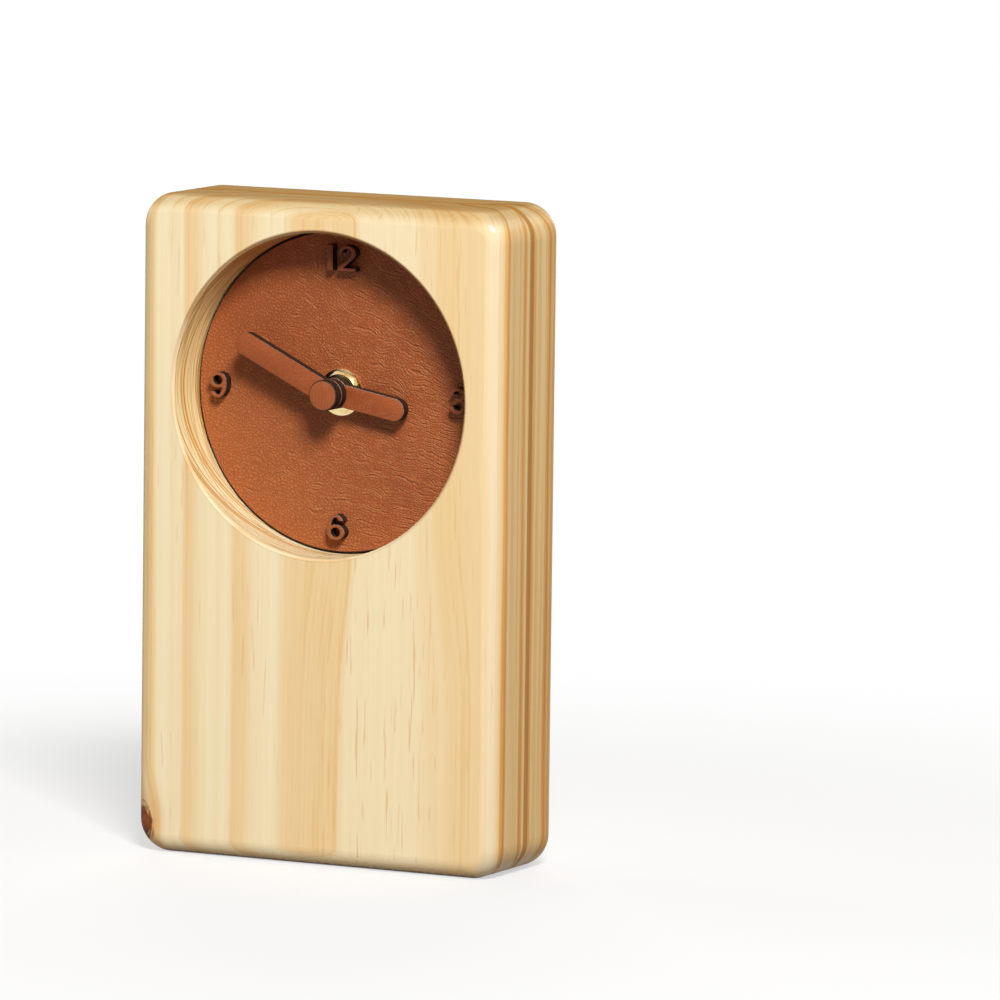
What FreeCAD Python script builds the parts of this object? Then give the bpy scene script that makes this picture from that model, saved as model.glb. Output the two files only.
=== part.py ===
import FreeCAD, Part
import math
import os

# Desk clock: two pine boards glued face to face, a wide bore in the front board that shows a
# leather-faced dial, and a quartz movement in a square pocket of the back board.
# Frame: millimetres, +Z up, the dial faces -Y, the glue joint between the boards is y = 0,
# and the origin is under the middle of the base. Places in the dial and the movement are
# given from the hands' axis: u to the right and v upwards, seen from the front.

# ---- wooden body --------------------------------------------------------------------------
BLOCK_W = 110.0          # width over both sides
BLOCK_H = 180.0          # height, foot to crown
FRONT_BOARD_T = 18.0
BACK_BOARD_T = 18.0
CORNER_R = 9.0           # rounding of the four corners, seen from the front
EDGE_R = 5.0             # rounding of the front and back edges
BORE_R = 44.0            # dial window through the front board
BORE_TOP_MARGIN = 8.5    # wood left above the window
BORE_LIP = 0.6           # bevel on the rim of the window
SHAFT_Z = BLOCK_H - BORE_TOP_MARGIN - BORE_R

# ---- dial ---------------------------------------------------------------------------------
DIAL_GAP = 0.4           # between the dial's edge and the window
DIAL_PLY_T = 3.0
DIAL_LEATHER_T = 1.0
DIAL_R = BORE_R - DIAL_GAP
DIAL_FACE_Y = -(DIAL_PLY_T + DIAL_LEATHER_T)

# ---- sheet that hands, hub cap and numerals are cut from --------------------------------------
SHEET_PLY_T = 2.4
SHEET_LEATHER_T = 0.6
SHEET_T = SHEET_PLY_T + SHEET_LEATHER_T

NUMERAL_MARGIN = 7.1     # from the dial's edge to the middle of each numeral
NUMERAL_RING_R = DIAL_R - NUMERAL_MARGIN
NUMERAL_H = 7.0
NUMERAL_W = 5.3          # one digit
NUMERAL_STROKE = 1.2     # upright strokes
NUMERAL_THIN = 0.85      # level strokes
ONE_STEM_W = 1.6
ONE_FLAG_DROP = 1.9      # the flag's tip below the numeral's top
ONE_FLAG_REACH = 1.5     # and left of its stem
TWO_HEAD_H = 4.2         # height of the round head, were it a whole oval
TWO_SLANT_W = 1.6        # the slanting stroke, along the foot
THREE_UPPER_H = 3.8      # upper and lower bowl, likewise
THREE_LOWER_H = 4.2
THREE_UPPER_IN = 0.2     # the upper bowl's sides, in from the lower one's
SIX_BOWL_H = 4.3
SIX_HOOK_DROP = 1.7      # end of the hook below the top
DIGIT_PITCH = 5.1        # between the middles of the two digits of 12

HAND_W = 6.2
HOUR_HAND_L = 21.6       # axis to tip
MINUTE_HAND_L = 31.0
HUB_R = 4.2
HOUR_REST_DEG = 100.5    # clockwise from 12
MINUTE_REST_DEG = 296.0

# ---- fixing on the dial and the stack of the hands --------------------------------------------
BUSH_R = 4.0             # threaded bush through the dial
BUSH_HOLE_GAP = 0.1
BUSH_FLANGE_R = 6.0
BUSH_FLANGE_T = 0.8
WASHER_R = 6.35
WASHER_T = 0.5
NUT_AF = 10.0            # across flats
NUT_T = 1.2
NUT_CROWN_DEG = 30.0     # slope of the chamfer that rounds the corners
NUT_TURN_DEG = 16.0      # one flat's normal, clockwise from 12
NUT_TO_HAND_GAP = 0.2
HAND_TO_HAND_GAP = 0.3
HOUR_PIPE_R = 2.5
MINUTE_ARBOR_R = 1.7
RUN_GAP = 0.06           # radial play of anything that turns in a hole
HAND_BUSH_WALL = 0.8     # brass bush in each hand
PIPE_END_GAP = 0.2       # arbor end to the back of the hub cap

WASHER_FRONT_Y = DIAL_FACE_Y - WASHER_T
NUT_FRONT_Y = WASHER_FRONT_Y - NUT_T
HOUR_BACK_Y = NUT_FRONT_Y - NUT_TO_HAND_GAP
HOUR_FRONT_Y = HOUR_BACK_Y - SHEET_T
MINUTE_BACK_Y = HOUR_FRONT_Y - HAND_TO_HAND_GAP
MINUTE_FRONT_Y = MINUTE_BACK_Y - SHEET_T
CAP_FRONT_Y = MINUTE_FRONT_Y - SHEET_T

# ---- battery and its bay ------------------------------------------------------------------
CELL_R = 7.1
CELL_L = 50.5            # over the nub
CELL_NUB_R = 2.7
CELL_NUB_L = 1.3
CELL_EDGE = 0.5          # bevel of the rolled ends
CELL_SIDE_GAP = 0.25
CELL_END_GAP = 0.1
CELL_FRONT_GAP = 0.2
CONTACT_T = 0.3
CONTACT_SPRING_H = 1.9   # height of the bowed leaf of the negative contact
BAY_ROOF_T = 1.0
WHEEL_ROOM = 10.9        # from the hands' axis down to the roof of the bay

# ---- movement case ------------------------------------------------------------------------
CASE_T = 16.0
CASE_WALL = 1.4
CASE_CORNER_R = 3.0
CASE_SPLIT_Y = 9.0       # where the rear cover meets the front case
CASE_TOP_V = 28.0
CLIP_W = 7.0             # snap clips of the front case, outside the walls of the rear cover
CLIP_T = 0.7
CLIP_BAR = 1.2
CLIP_REACH = 4.0         # past the split
CLIP_SPOTS = (-18.0, 18.0)   # heights of the two clips on each side
CLIP_PLAY = 0.15         # between a clip's window and the catch in it
POCKET_ROOM = 0.3        # between the clips and the pocket in the back board
NOTCH_R = 6.0            # finger notch in the wall under the cell

ROOM_FLOOR_V = -WHEEL_ROOM
BAY_ROOF_V = ROOM_FLOOR_V - BAY_ROOF_T
CELL_V = BAY_ROOF_V - CELL_SIDE_GAP - CELL_R
CELL_Y = CASE_WALL + CELL_FRONT_GAP + CELL_R
BAY_FLOOR_V = CELL_V - CELL_R - CELL_SIDE_GAP
BAY_HALF_L = (CELL_L + 2 * CELL_END_GAP + 2 * CONTACT_T + CONTACT_SPRING_H) / 2
CASE_HALF_W = BAY_HALF_L + CASE_WALL
CASE_FOOT_V = BAY_FLOOR_V - CASE_WALL
POCKET_GAP = CLIP_T + POCKET_ROOM

# ---- wheels: (teeth, module) ----------------------------------------------------------------
MOTION_MODULE = 0.6      # cannon pinion, motion wheel and setting pinion
CANNON_TEETH = 8
MOTION_TEETH = 24
SETTING_TEETH = 8
MOTION_PINION_TEETH = 8
HOUR_TEETH = 32
CENTRE_MODULE = 0.34     # centre wheel and third pinion
CENTRE_TEETH = 56
THIRD_PINION_TEETH = 7
THIRD_MODULE = 0.33      # third wheel and second pinion
THIRD_TEETH = 45
SECOND_PINION_TEETH = 6
SECOND_MODULE = 0.32     # second wheel and fifth pinion
SECOND_TEETH = 28
FIFTH_PINION_TEETH = 7
FIFTH_MODULE = 0.2       # fifth wheel and rotor pinion
FIFTH_TEETH = 45
ROTOR_PINION_TEETH = 6

MOTION_CENTRES = (CANNON_TEETH + MOTION_TEETH) * MOTION_MODULE / 2
SETTING_CENTRES = (SETTING_TEETH + MOTION_TEETH) * MOTION_MODULE / 2
HOUR_MODULE = 2 * MOTION_CENTRES / (MOTION_PINION_TEETH + HOUR_TEETH)
THIRD_CENTRES = (CENTRE_TEETH + THIRD_PINION_TEETH) * CENTRE_MODULE / 2
SECOND_CENTRES = (THIRD_TEETH + SECOND_PINION_TEETH) * THIRD_MODULE / 2
FIFTH_CENTRES = (SECOND_TEETH + FIFTH_PINION_TEETH) * SECOND_MODULE / 2
ROTOR_CENTRES = (FIFTH_TEETH + ROTOR_PINION_TEETH) * FIFTH_MODULE / 2

ADDENDUM = 0.85          # in modules
DEDENDUM = 1.2
TOOTH_FILL = 0.86        # tooth thickness over half the pitch, the rest is backlash
PRESSURE_DEG = 22.5

# ---- directions from one axis to the next, anticlockwise from +u ------------------------------
MOTION_DIR = 150.0
SETTING_DIR = 190.0
THIRD_DIR = 10.0
SECOND_DIR = 70.0
FIFTH_DIR = 120.0
ROTOR_DIR = 180.0


def polar(origin, direction, distance):
    a = math.radians(direction)
    return (origin[0] + distance * math.cos(a), origin[1] + distance * math.sin(a))


SHAFT = (0.0, 0.0)
MOTION_AT = polar(SHAFT, MOTION_DIR, MOTION_CENTRES)
SETTING_AT = polar(MOTION_AT, SETTING_DIR, SETTING_CENTRES)
THIRD_AT = polar(SHAFT, THIRD_DIR, THIRD_CENTRES)
SECOND_AT = polar(THIRD_AT, SECOND_DIR, SECOND_CENTRES)
FIFTH_AT = polar(SECOND_AT, FIFTH_DIR, FIFTH_CENTRES)
ROTOR_AT = polar(FIFTH_AT, ROTOR_DIR, ROTOR_CENTRES)

# ---- levels in the movement, from the front wall to the rear ----------------------------------
LEVEL_GAP = 0.3          # between wheels that pass over each other
PLATE_CLEARANCE = 0.8    # between the motion work and the gear plate
HOUR_WHEEL_Y = CASE_WALL + BUSH_FLANGE_T + LEVEL_GAP
HOUR_WHEEL_T = 1.0
MOTION_WHEEL_Y = HOUR_WHEEL_Y + HOUR_WHEEL_T + LEVEL_GAP
MOTION_WHEEL_T = 1.0
PLATE_Y = MOTION_WHEEL_Y + MOTION_WHEEL_T + PLATE_CLEARANCE
PLATE_T = 0.8
CENTRE_WHEEL_Y = PLATE_Y + PLATE_T + 2 * LEVEL_GAP
WHEEL_T = 0.7
THIRD_WHEEL_Y = CENTRE_WHEEL_Y + WHEEL_T + 2 * LEVEL_GAP
SECOND_WHEEL_Y = THIRD_WHEEL_Y + WHEEL_T + 2.5 * LEVEL_GAP
FIFTH_WHEEL_Y = SECOND_WHEEL_Y + WHEEL_T + 2 * LEVEL_GAP
PINION_OVERLAP = 0.1     # pinion faces stand out past their wheel's
BRIDGE_T = 0.8
BRIDGE_Y = FIFTH_WHEEL_Y + WHEEL_T + 3 * LEVEL_GAP
ARBOR_R = 0.45
CLUTCH_PIVOT_R = 0.8     # rear end of the minute arbor, in the hub of the centre wheel
CLUTCH_PIVOT_L = 1.3
CENTRE_HUB_R = 1.8
CENTRE_HUB_L = 2.0
MOTION_STUD_R = 0.8
WHEEL_RIM = 0.8          # left inside the teeth and round the hub of the centre wheel
WHEEL_SPOKES = 4
SPOKE_W = 1.0

# ---- motor, circuit and fasteners -------------------------------------------------------------
MAGNET_R = 2.7
MAGNET_T = 2.2
AIR_GAP = 0.6
STATOR_T = 1.0
POLE_W = 8.0             # width of the stator bar that holds the rotor hole
LEG_W = 3.0
COIL_U = -6.0            # axis of the coil
CORE_T = 0.8
CORE_W = 2.4
BOBBIN_WALL = 0.4
WINDING_R = 2.6
STATOR_TOP_V = CASE_TOP_V - CASE_CORNER_R
STATOR_FOOT_V = 10.0
STATOR_Y = THIRD_WHEEL_Y
BOARD_H = 4.6
BOARD_HIGH_V = STATOR_TOP_V
BOARD_LOW_V = BOARD_HIGH_V - BOARD_H
BOARD_T = 0.8
CHIP_R = 2.0
CHIP_T = 0.9
CHIP_EDGE = 0.5
CHIP_U = -14.0
CRYSTAL_R = 1.0
CRYSTAL_L = 6.0
CRYSTAL_U = 8.0
PILLAR_W = 3.0           # square pillars of the gear plate and ledges of the case
PILLAR_SIDE_GAP = 1.3    # pillar to the side wall of the case
PILLAR_FOOT_GAP = 0.8    # pillar to the roof of the battery bay
PILLAR_HIGH_V = 17.4
PILLAR_U = BAY_HALF_L - PILLAR_SIDE_GAP - PILLAR_W / 2
PILLAR_LOW_V = ROOM_FLOOR_V + PILLAR_FOOT_GAP + PILLAR_W / 2
PEG_R = 0.8              # pegs of the pillars that locate the bridge
PEG_STANDOUT = 0.6

STEM_R = 1.2
KNOB_R = 6.5
KNOB_T = 1.7
KNOB_GAP = 0.1
KNOB_RIBS = 24           # grip ribs round the knob
KNOB_RIB_H = 0.45
KNOB_RIM = 1.3
KNOB_DISH = 0.6          # depth of the knob's hollow face

os.makedirs("parts", exist_ok=True)


def save(name, shape):
    shape.exportStep("parts/" + name + ".step")


# ---- plain solids ---------------------------------------------------------------------------
def at(u, y, v):
    return FreeCAD.Vector(u, y, SHAFT_Z + v)


def disc(radius, y0, y1, centre=SHAFT):
    return Part.makeCylinder(radius, y1 - y0, at(centre[0], y0, centre[1]), FreeCAD.Vector(0, 1, 0))


def tube(radius, bore, y0, y1, centre=SHAFT):
    return disc(radius, y0, y1, centre).cut(disc(bore, y0, y1, centre))


def slab(u0, u1, y0, y1, v0, v1):
    return Part.makeBox(u1 - u0, y1 - y0, v1 - v0, at(u0, y0, v0))


def edges_along_y(shape):
    found = []
    for edge in shape.Edges:
        ends = [vertex.Point for vertex in edge.Vertexes]
        if len(ends) == 2:
            run = ends[1] - ends[0]
            if abs(run.x) < 1e-6 and abs(run.z) < 1e-6:
                found.append(edge)
    return found


def rounded_slab(u0, u1, y0, y1, v0, v1, radius):
    block = slab(u0, u1, y0, y1, v0, v1)
    return block.makeFillet(radius, edges_along_y(block))


def edges_on(shape, y):
    return [e for e in shape.Edges if all(abs(v.Point.y - y) < 1e-6 for v in e.Vertexes)]


def extruded(wire, y0, y1):
    face = Part.Face(wire)
    return face.extrude(FreeCAD.Vector(0, y1 - y0, 0))


def prism(points, y0, y1):
    corners = [at(u, y0, v) for u, v in points]
    return extruded(Part.makePolygon(corners + corners[:1]), y0, y1)


def turned(shape, clockwise_deg, centre=SHAFT):
    copy = shape.copy()
    copy.rotate(at(centre[0], 0, centre[1]), FreeCAD.Vector(0, 1, 0), clockwise_deg)
    return copy


def moved(shape, u, v):
    copy = shape.copy()
    copy.translate(FreeCAD.Vector(u, 0, v))
    return copy


# ---- toothed wheels -------------------------------------------------------------------------
def involute(angle):
    return math.tan(angle) - angle


def gear(teeth, module, phase, y0, y1, centre):
    """Spur gear with one tooth's middle at phase (radians, anticlockwise from +u)."""
    pitch_r = teeth * module / 2
    tip_r = pitch_r + ADDENDUM * module
    root_r = pitch_r - DEDENDUM * module
    pressure = math.radians(PRESSURE_DEG)
    base_r = pitch_r * math.cos(pressure)
    half_at_pitch = math.pi / (2 * teeth) * TOOTH_FILL

    def half_angle(radius):
        if radius <= base_r:
            return half_at_pitch + involute(pressure)
        return half_at_pitch + involute(pressure) - involute(math.acos(base_r / radius))

    points = []
    for tooth in range(teeth):
        middle = phase + 2 * math.pi * tooth / teeth
        for radius, side in ((root_r, -1), (tip_r, -1), (tip_r, 1), (root_r, 1)):
            angle = math.degrees(middle + side * half_angle(radius))
            points.append(polar(centre, angle, radius))
    return prism(points, y0, y1)


def meshed_phase(phase, teeth, other_teeth, direction):
    """Phase of a gear that meshes with one of the given phase, direction degrees away from it."""
    line = math.radians(direction)
    return line + math.pi + math.pi / other_teeth - (phase - line) * teeth / other_teeth


CANNON_PHASE = 0.0
MOTION_PHASE = meshed_phase(CANNON_PHASE, CANNON_TEETH, MOTION_TEETH, MOTION_DIR)
SETTING_PHASE = meshed_phase(MOTION_PHASE, MOTION_TEETH, SETTING_TEETH, SETTING_DIR)
HOUR_PHASE = meshed_phase(MOTION_PHASE, MOTION_PINION_TEETH, HOUR_TEETH, MOTION_DIR + 180)
CENTRE_PHASE = 0.0
THIRD_PHASE = meshed_phase(CENTRE_PHASE, CENTRE_TEETH, THIRD_PINION_TEETH, THIRD_DIR)
SECOND_PHASE = meshed_phase(THIRD_PHASE, THIRD_TEETH, SECOND_PINION_TEETH, SECOND_DIR)
FIFTH_PHASE = meshed_phase(SECOND_PHASE, SECOND_TEETH, FIFTH_PINION_TEETH, FIFTH_DIR)
ROTOR_PHASE = meshed_phase(FIFTH_PHASE, FIFTH_TEETH, ROTOR_PINION_TEETH, ROTOR_DIR)


def arbor_wheel(teeth, module, phase, pinion_teeth, pinion_module, wheel_y, pinion_y, pinion_end, centre):
    """Moulded wheel, pinion and arbor in one piece, pivoted in the gear plate and the bridge."""
    wheel = gear(teeth, module, phase, wheel_y, wheel_y + WHEEL_T, centre)
    pinion = gear(pinion_teeth, pinion_module, phase, pinion_y, pinion_end, centre)
    arbor = disc(ARBOR_R, PLATE_Y, BRIDGE_Y + BRIDGE_T, centre)
    return wheel.fuse([pinion, arbor]).removeSplitter()


# ---- wooden boards ----------------------------------------------------------------------------
def board(y0, y1, outer_y):
    left, right = -BLOCK_W / 2, BLOCK_W / 2
    blank = rounded_slab(left, right, y0, y1, -SHAFT_Z, BLOCK_H - SHAFT_Z, CORNER_R)
    return blank.makeFillet(EDGE_R, edges_on(blank, outer_y))


def front_board():
    blank = board(-FRONT_BOARD_T, 0, -FRONT_BOARD_T)
    bored = blank.cut(disc(BORE_R, -FRONT_BOARD_T, 0))
    rim = []
    for edge in edges_on(bored, -FRONT_BOARD_T):
        if isinstance(edge.Curve, Part.Circle) and abs(edge.Curve.Radius - BORE_R) < 1e-6:
            rim.append(edge)
    return bored.makeChamfer(BORE_LIP, rim)


def back_board():
    blank = board(0, BACK_BOARD_T, BACK_BOARD_T)
    return blank.cut(case_block(-POCKET_GAP, 0, BACK_BOARD_T))


# ---- dial -------------------------------------------------------------------------------------
def dial_base():
    return tube(DIAL_R, BUSH_R + BUSH_HOLE_GAP, -DIAL_PLY_T, 0)


def dial_leather():
    return tube(DIAL_R, BUSH_R + BUSH_HOLE_GAP, DIAL_FACE_Y, -DIAL_PLY_T)


def oval(half_w, half_h, u, v, y0, y1):
    """Upright or lying ellipse, extruded."""
    long_r, short_r = max(half_w, half_h), min(half_w, half_h)
    along = FreeCAD.Vector(0, 0, 1) if half_h > half_w else FreeCAD.Vector(1, 0, 0)
    across = FreeCAD.Vector(0, -1, 0).cross(along)
    point = at(u, y0, v)
    curve = Part.Ellipse(point + along * long_r, point + across * short_r, point)
    return extruded(Part.Wire(curve.toShape()), y0, y1)


def oval_ring(half_w, half_h, u, v, y0, y1):
    """Oval stroke, thick at its sides and thin at top and foot."""
    inner = oval(half_w - NUMERAL_STROKE, half_h - NUMERAL_THIN, u, v, y0, y1)
    return oval(half_w, half_h, u, v, y0, y1).cut(inner)


def digit_one(y0, y1):
    top = NUMERAL_H / 2
    left = -ONE_STEM_W / 2
    stem = slab(left, ONE_STEM_W / 2, y0, y1, -top, top)
    tip_v = top - ONE_FLAG_DROP
    flag = prism([(0, top), (left - ONE_FLAG_REACH, tip_v), (left - ONE_FLAG_REACH, tip_v - NUMERAL_THIN),
                  (0, top - ONE_FLAG_DROP)], y0, y1)
    return stem.fuse(flag).removeSplitter()


def touch_point(half_w, half_h, v, target):
    """Where a line from target, below and to the left, touches the right side of an oval."""
    across, up = target[0] / half_w, (target[1] - v) / half_h
    angle = math.atan2(up, across) + math.acos(1 / math.hypot(across, up))
    return half_w * math.cos(angle), v + half_h * math.sin(angle)


def digit_two(y0, y1):
    """Open oval that runs on, without a kink, into the slanting stroke."""
    half_w, half_h = NUMERAL_W / 2, NUMERAL_H / 2
    head_h = TWO_HEAD_H / 2
    head_v = half_h - head_h
    foot_v = NUMERAL_THIN - half_h
    foot_left, foot_right = (-half_w, foot_v), (TWO_SLANT_W - half_w, foot_v)
    outer = touch_point(half_w, head_h, head_v, foot_right)
    inner = touch_point(half_w - NUMERAL_STROKE, head_h - NUMERAL_THIN, head_v, foot_left)
    beyond = (2 * outer[0] - inner[0], 2 * outer[1] - inner[1])
    lower = [(0, head_v), inner, beyond, (half_w, -half_h), (-half_w, -half_h), (-half_w, head_v)]
    head = oval_ring(half_w, head_h, 0, head_v, y0, y1).cut(prism(lower, y0, y1))
    slant = prism([inner, outer, foot_right, foot_left], y0, y1)
    foot = slab(-half_w, half_w, y0, y1, -half_h, foot_v)
    return head.fuse([slant, foot]).removeSplitter()


def digit_three(y0, y1):
    half_w, half_h = NUMERAL_W / 2, NUMERAL_H / 2
    upper_v = half_h - THREE_UPPER_H / 2
    lower_v = THREE_LOWER_H / 2 - half_h
    upper = oval_ring(half_w - THREE_UPPER_IN, THREE_UPPER_H / 2, 0, upper_v, y0, y1)
    lower = oval_ring(half_w, THREE_LOWER_H / 2, 0, lower_v, y0, y1)
    gap = slab(-half_w, -NUMERAL_STROKE / 2, y0, y1, lower_v, upper_v)
    return upper.fuse(lower).cut(gap).removeSplitter()


def digit_six(y0, y1):
    """Upper half of an upright oval, a straight side and a lying oval bowl."""
    half_w, half_h = NUMERAL_W / 2, NUMERAL_H / 2
    bowl_v = SIX_BOWL_H / 2 - half_h
    spine = oval_ring(half_w, half_h, 0, 0, y0, y1).cut(slab(-half_w, half_w, y0, y1, -half_h, 0))
    spine = spine.cut(slab(0, half_w, y0, y1, 0, half_h - SIX_HOOK_DROP))
    side = slab(-half_w, NUMERAL_STROKE - half_w, y0, y1, bowl_v, 0)
    bowl = oval_ring(half_w, SIX_BOWL_H / 2, 0, bowl_v, y0, y1)
    hollow = oval(half_w - NUMERAL_STROKE, SIX_BOWL_H / 2 - NUMERAL_THIN, 0, bowl_v, y0, y1)
    return spine.fuse([side, bowl]).cut(hollow).removeSplitter()


def numeral_twelve(y0, y1):
    one = moved(digit_one(y0, y1), -DIGIT_PITCH / 2, NUMERAL_RING_R)
    two = moved(digit_two(y0, y1), DIGIT_PITCH / 2, NUMERAL_RING_R)
    return Part.makeCompound([one, two])


def numeral_three(y0, y1):
    return moved(digit_three(y0, y1), NUMERAL_RING_R, 0)


def numeral_six(y0, y1):
    return moved(digit_six(y0, y1), 0, -NUMERAL_RING_R)


def numeral_nine(y0, y1):
    return moved(turned(digit_six(y0, y1), 180), -NUMERAL_RING_R, 0)


# ---- hands ------------------------------------------------------------------------------------
def hand_blank(length, bush_r, y0, y1):
    """Bar with a full-round tip and a round hub, pointing at 12."""
    half = HAND_W / 2
    shank = slab(-half, half, y0, y1, 0, length - half)
    tip = disc(half, y0, y1, (0, length - half))
    hub = disc(HUB_R, y0, y1)
    return shank.fuse([tip, hub]).removeSplitter().cut(disc(bush_r, y0, y1))


def hour_hand_base():
    blank = hand_blank(HOUR_HAND_L, HOUR_PIPE_R + HAND_BUSH_WALL,
                       HOUR_FRONT_Y + SHEET_LEATHER_T, HOUR_BACK_Y)
    return turned(blank, HOUR_REST_DEG)


def hour_hand_leather():
    blank = hand_blank(HOUR_HAND_L, HOUR_PIPE_R + HAND_BUSH_WALL,
                       HOUR_FRONT_Y, HOUR_FRONT_Y + SHEET_LEATHER_T)
    return turned(blank, HOUR_REST_DEG)


def hour_hand_bush():
    return tube(HOUR_PIPE_R + HAND_BUSH_WALL, HOUR_PIPE_R, HOUR_FRONT_Y, HOUR_BACK_Y)


def minute_hand_base():
    blank = hand_blank(MINUTE_HAND_L, MINUTE_ARBOR_R + HAND_BUSH_WALL,
                       MINUTE_FRONT_Y + SHEET_LEATHER_T, MINUTE_BACK_Y)
    return turned(blank, MINUTE_REST_DEG)


def minute_hand_leather():
    blank = hand_blank(MINUTE_HAND_L, MINUTE_ARBOR_R + HAND_BUSH_WALL,
                       MINUTE_FRONT_Y, MINUTE_FRONT_Y + SHEET_LEATHER_T)
    return turned(blank, MINUTE_REST_DEG)


def minute_hand_bush():
    return tube(MINUTE_ARBOR_R + HAND_BUSH_WALL, MINUTE_ARBOR_R, MINUTE_FRONT_Y, MINUTE_BACK_Y)


def hub_cap_base():
    return disc(HUB_R, CAP_FRONT_Y + SHEET_LEATHER_T, MINUTE_FRONT_Y)


def hub_cap_leather():
    return disc(HUB_R, CAP_FRONT_Y, CAP_FRONT_Y + SHEET_LEATHER_T)


# ---- dial fixing ------------------------------------------------------------------------------
def threaded_bush():
    bore = HOUR_PIPE_R + RUN_GAP
    barrel = tube(BUSH_R, bore, NUT_FRONT_Y, CASE_WALL)
    flange = tube(BUSH_FLANGE_R, bore, CASE_WALL, CASE_WALL + BUSH_FLANGE_T)
    return barrel.fuse(flange).removeSplitter()


def washer():
    return tube(WASHER_R, BUSH_R, WASHER_FRONT_Y, DIAL_FACE_Y)


def hex_nut():
    corner_r = NUT_AF / 2 / math.cos(math.pi / 6)
    corners = [polar(SHAFT, 60.0 * k, corner_r) for k in range(6)]
    blank = prism(corners, NUT_FRONT_Y, WASHER_FRONT_Y)
    spread = NUT_T / math.tan(math.radians(NUT_CROWN_DEG))
    base_r = NUT_AF / 2
    crown = Part.makeCone(base_r, base_r + spread, NUT_T, at(0, NUT_FRONT_Y, 0), FreeCAD.Vector(0, 1, 0))
    nut = blank.common(crown).cut(disc(BUSH_R, NUT_FRONT_Y, WASHER_FRONT_Y))
    return turned(nut, NUT_TURN_DEG)


# ---- movement case ----------------------------------------------------------------------------
def case_block(inset, y0, y1):
    """Outer form of the case, drawn in by inset on its four sides."""
    half = CASE_HALF_W - inset
    low, high = CASE_FOOT_V + inset, CASE_TOP_V - inset
    return rounded_slab(-half, half, y0, y1, low, high, CASE_CORNER_R - inset)


def case_ring(y0, y1):
    return case_block(0, y0, y1).cut(case_block(CASE_WALL, y0, y1))


def bay_roof(y0, y1):
    """Wall between the battery bay and the wheels, short of the side walls to pass the contacts."""
    reach = BAY_HALF_L - 2 * CONTACT_T
    return slab(-reach, reach, y0, y1, BAY_ROOF_V, ROOM_FLOOR_V)


def clip(side, v):
    """Strap with a window, on the front case; it runs back along the wall of the rear cover."""
    u0, u1 = sorted((side * CASE_HALF_W, side * (CASE_HALF_W + CLIP_T)))
    half = CLIP_W / 2
    strap = slab(u0, u1, CASE_SPLIT_Y - CLIP_REACH, CASE_SPLIT_Y + CLIP_REACH, v - half, v + half)
    inner = half - CLIP_BAR
    return strap.cut(slab(u0, u1, CASE_SPLIT_Y, CASE_SPLIT_Y + CLIP_REACH - CLIP_BAR, v - inner, v + inner))


def catch(side, v):
    """Ramp on the rear cover that fills the clip's window."""
    wall, crest = side * CASE_HALF_W, side * (CASE_HALF_W + CLIP_T)
    half = CLIP_W / 2 - CLIP_BAR - CLIP_PLAY
    y0, y1 = CASE_SPLIT_Y + CLIP_PLAY, CASE_SPLIT_Y + CLIP_REACH - CLIP_BAR - CLIP_PLAY
    corners = [at(wall, y0, v - half), at(crest, y0, v - half), at(wall, y1, v - half)]
    ramp = Part.Face(Part.makePolygon(corners + corners[:1]))
    return ramp.extrude(FreeCAD.Vector(0, 0, 2 * half))


def on_both_sides(make):
    return [make(side, v) for side in (-1, 1) for v in CLIP_SPOTS]


def front_case():
    floor = case_block(0, 0, CASE_WALL)
    stud = disc(MOTION_STUD_R, CASE_WALL, PLATE_Y, MOTION_AT)
    ledges = pillars(CASE_WALL, PLATE_Y)
    inner = [floor, bay_roof(CASE_WALL, CASE_SPLIT_Y), stud] + ledges
    shell = case_ring(0, CASE_SPLIT_Y).fuse(inner + on_both_sides(clip))
    return shell.cut(disc(BUSH_R, 0, CASE_WALL)).removeSplitter()


def rear_cover():
    wall_y = CASE_T - CASE_WALL
    back = case_block(0, wall_y, CASE_T)
    bay = slab(-BAY_HALF_L, BAY_HALF_L, wall_y, CASE_T, BAY_FLOOR_V, BAY_ROOF_V)
    walls = case_ring(CASE_SPLIT_Y, CASE_T)
    shell = walls.fuse([back, bay_roof(CASE_SPLIT_Y, CASE_T)] + on_both_sides(catch))
    notch = Part.makeCylinder(NOTCH_R, CASE_WALL, at(0, CASE_T, CASE_FOOT_V), FreeCAD.Vector(0, 0, 1))
    stem_hole = disc(STEM_R + RUN_GAP, wall_y, CASE_T, SETTING_AT)
    return shell.cut(bay).cut(notch).cut(stem_hole).removeSplitter()


def pillar_spots():
    return [(side * PILLAR_U, v) for side in (-1, 1) for v in (PILLAR_LOW_V, PILLAR_HIGH_V)]


def peg_spots():
    return [(-PILLAR_U, PILLAR_LOW_V), (PILLAR_U, PILLAR_HIGH_V)]


def pillars(y0, y1):
    half = PILLAR_W / 2
    return [slab(u - half, u + half, y0, y1, v - half, v + half) for u, v in pillar_spots()]


def pivot_holes(plate, y0, y1, spots, radius):
    for spot in spots:
        plate = plate.cut(disc(radius + RUN_GAP, y0, y1, spot))
    return plate


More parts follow.
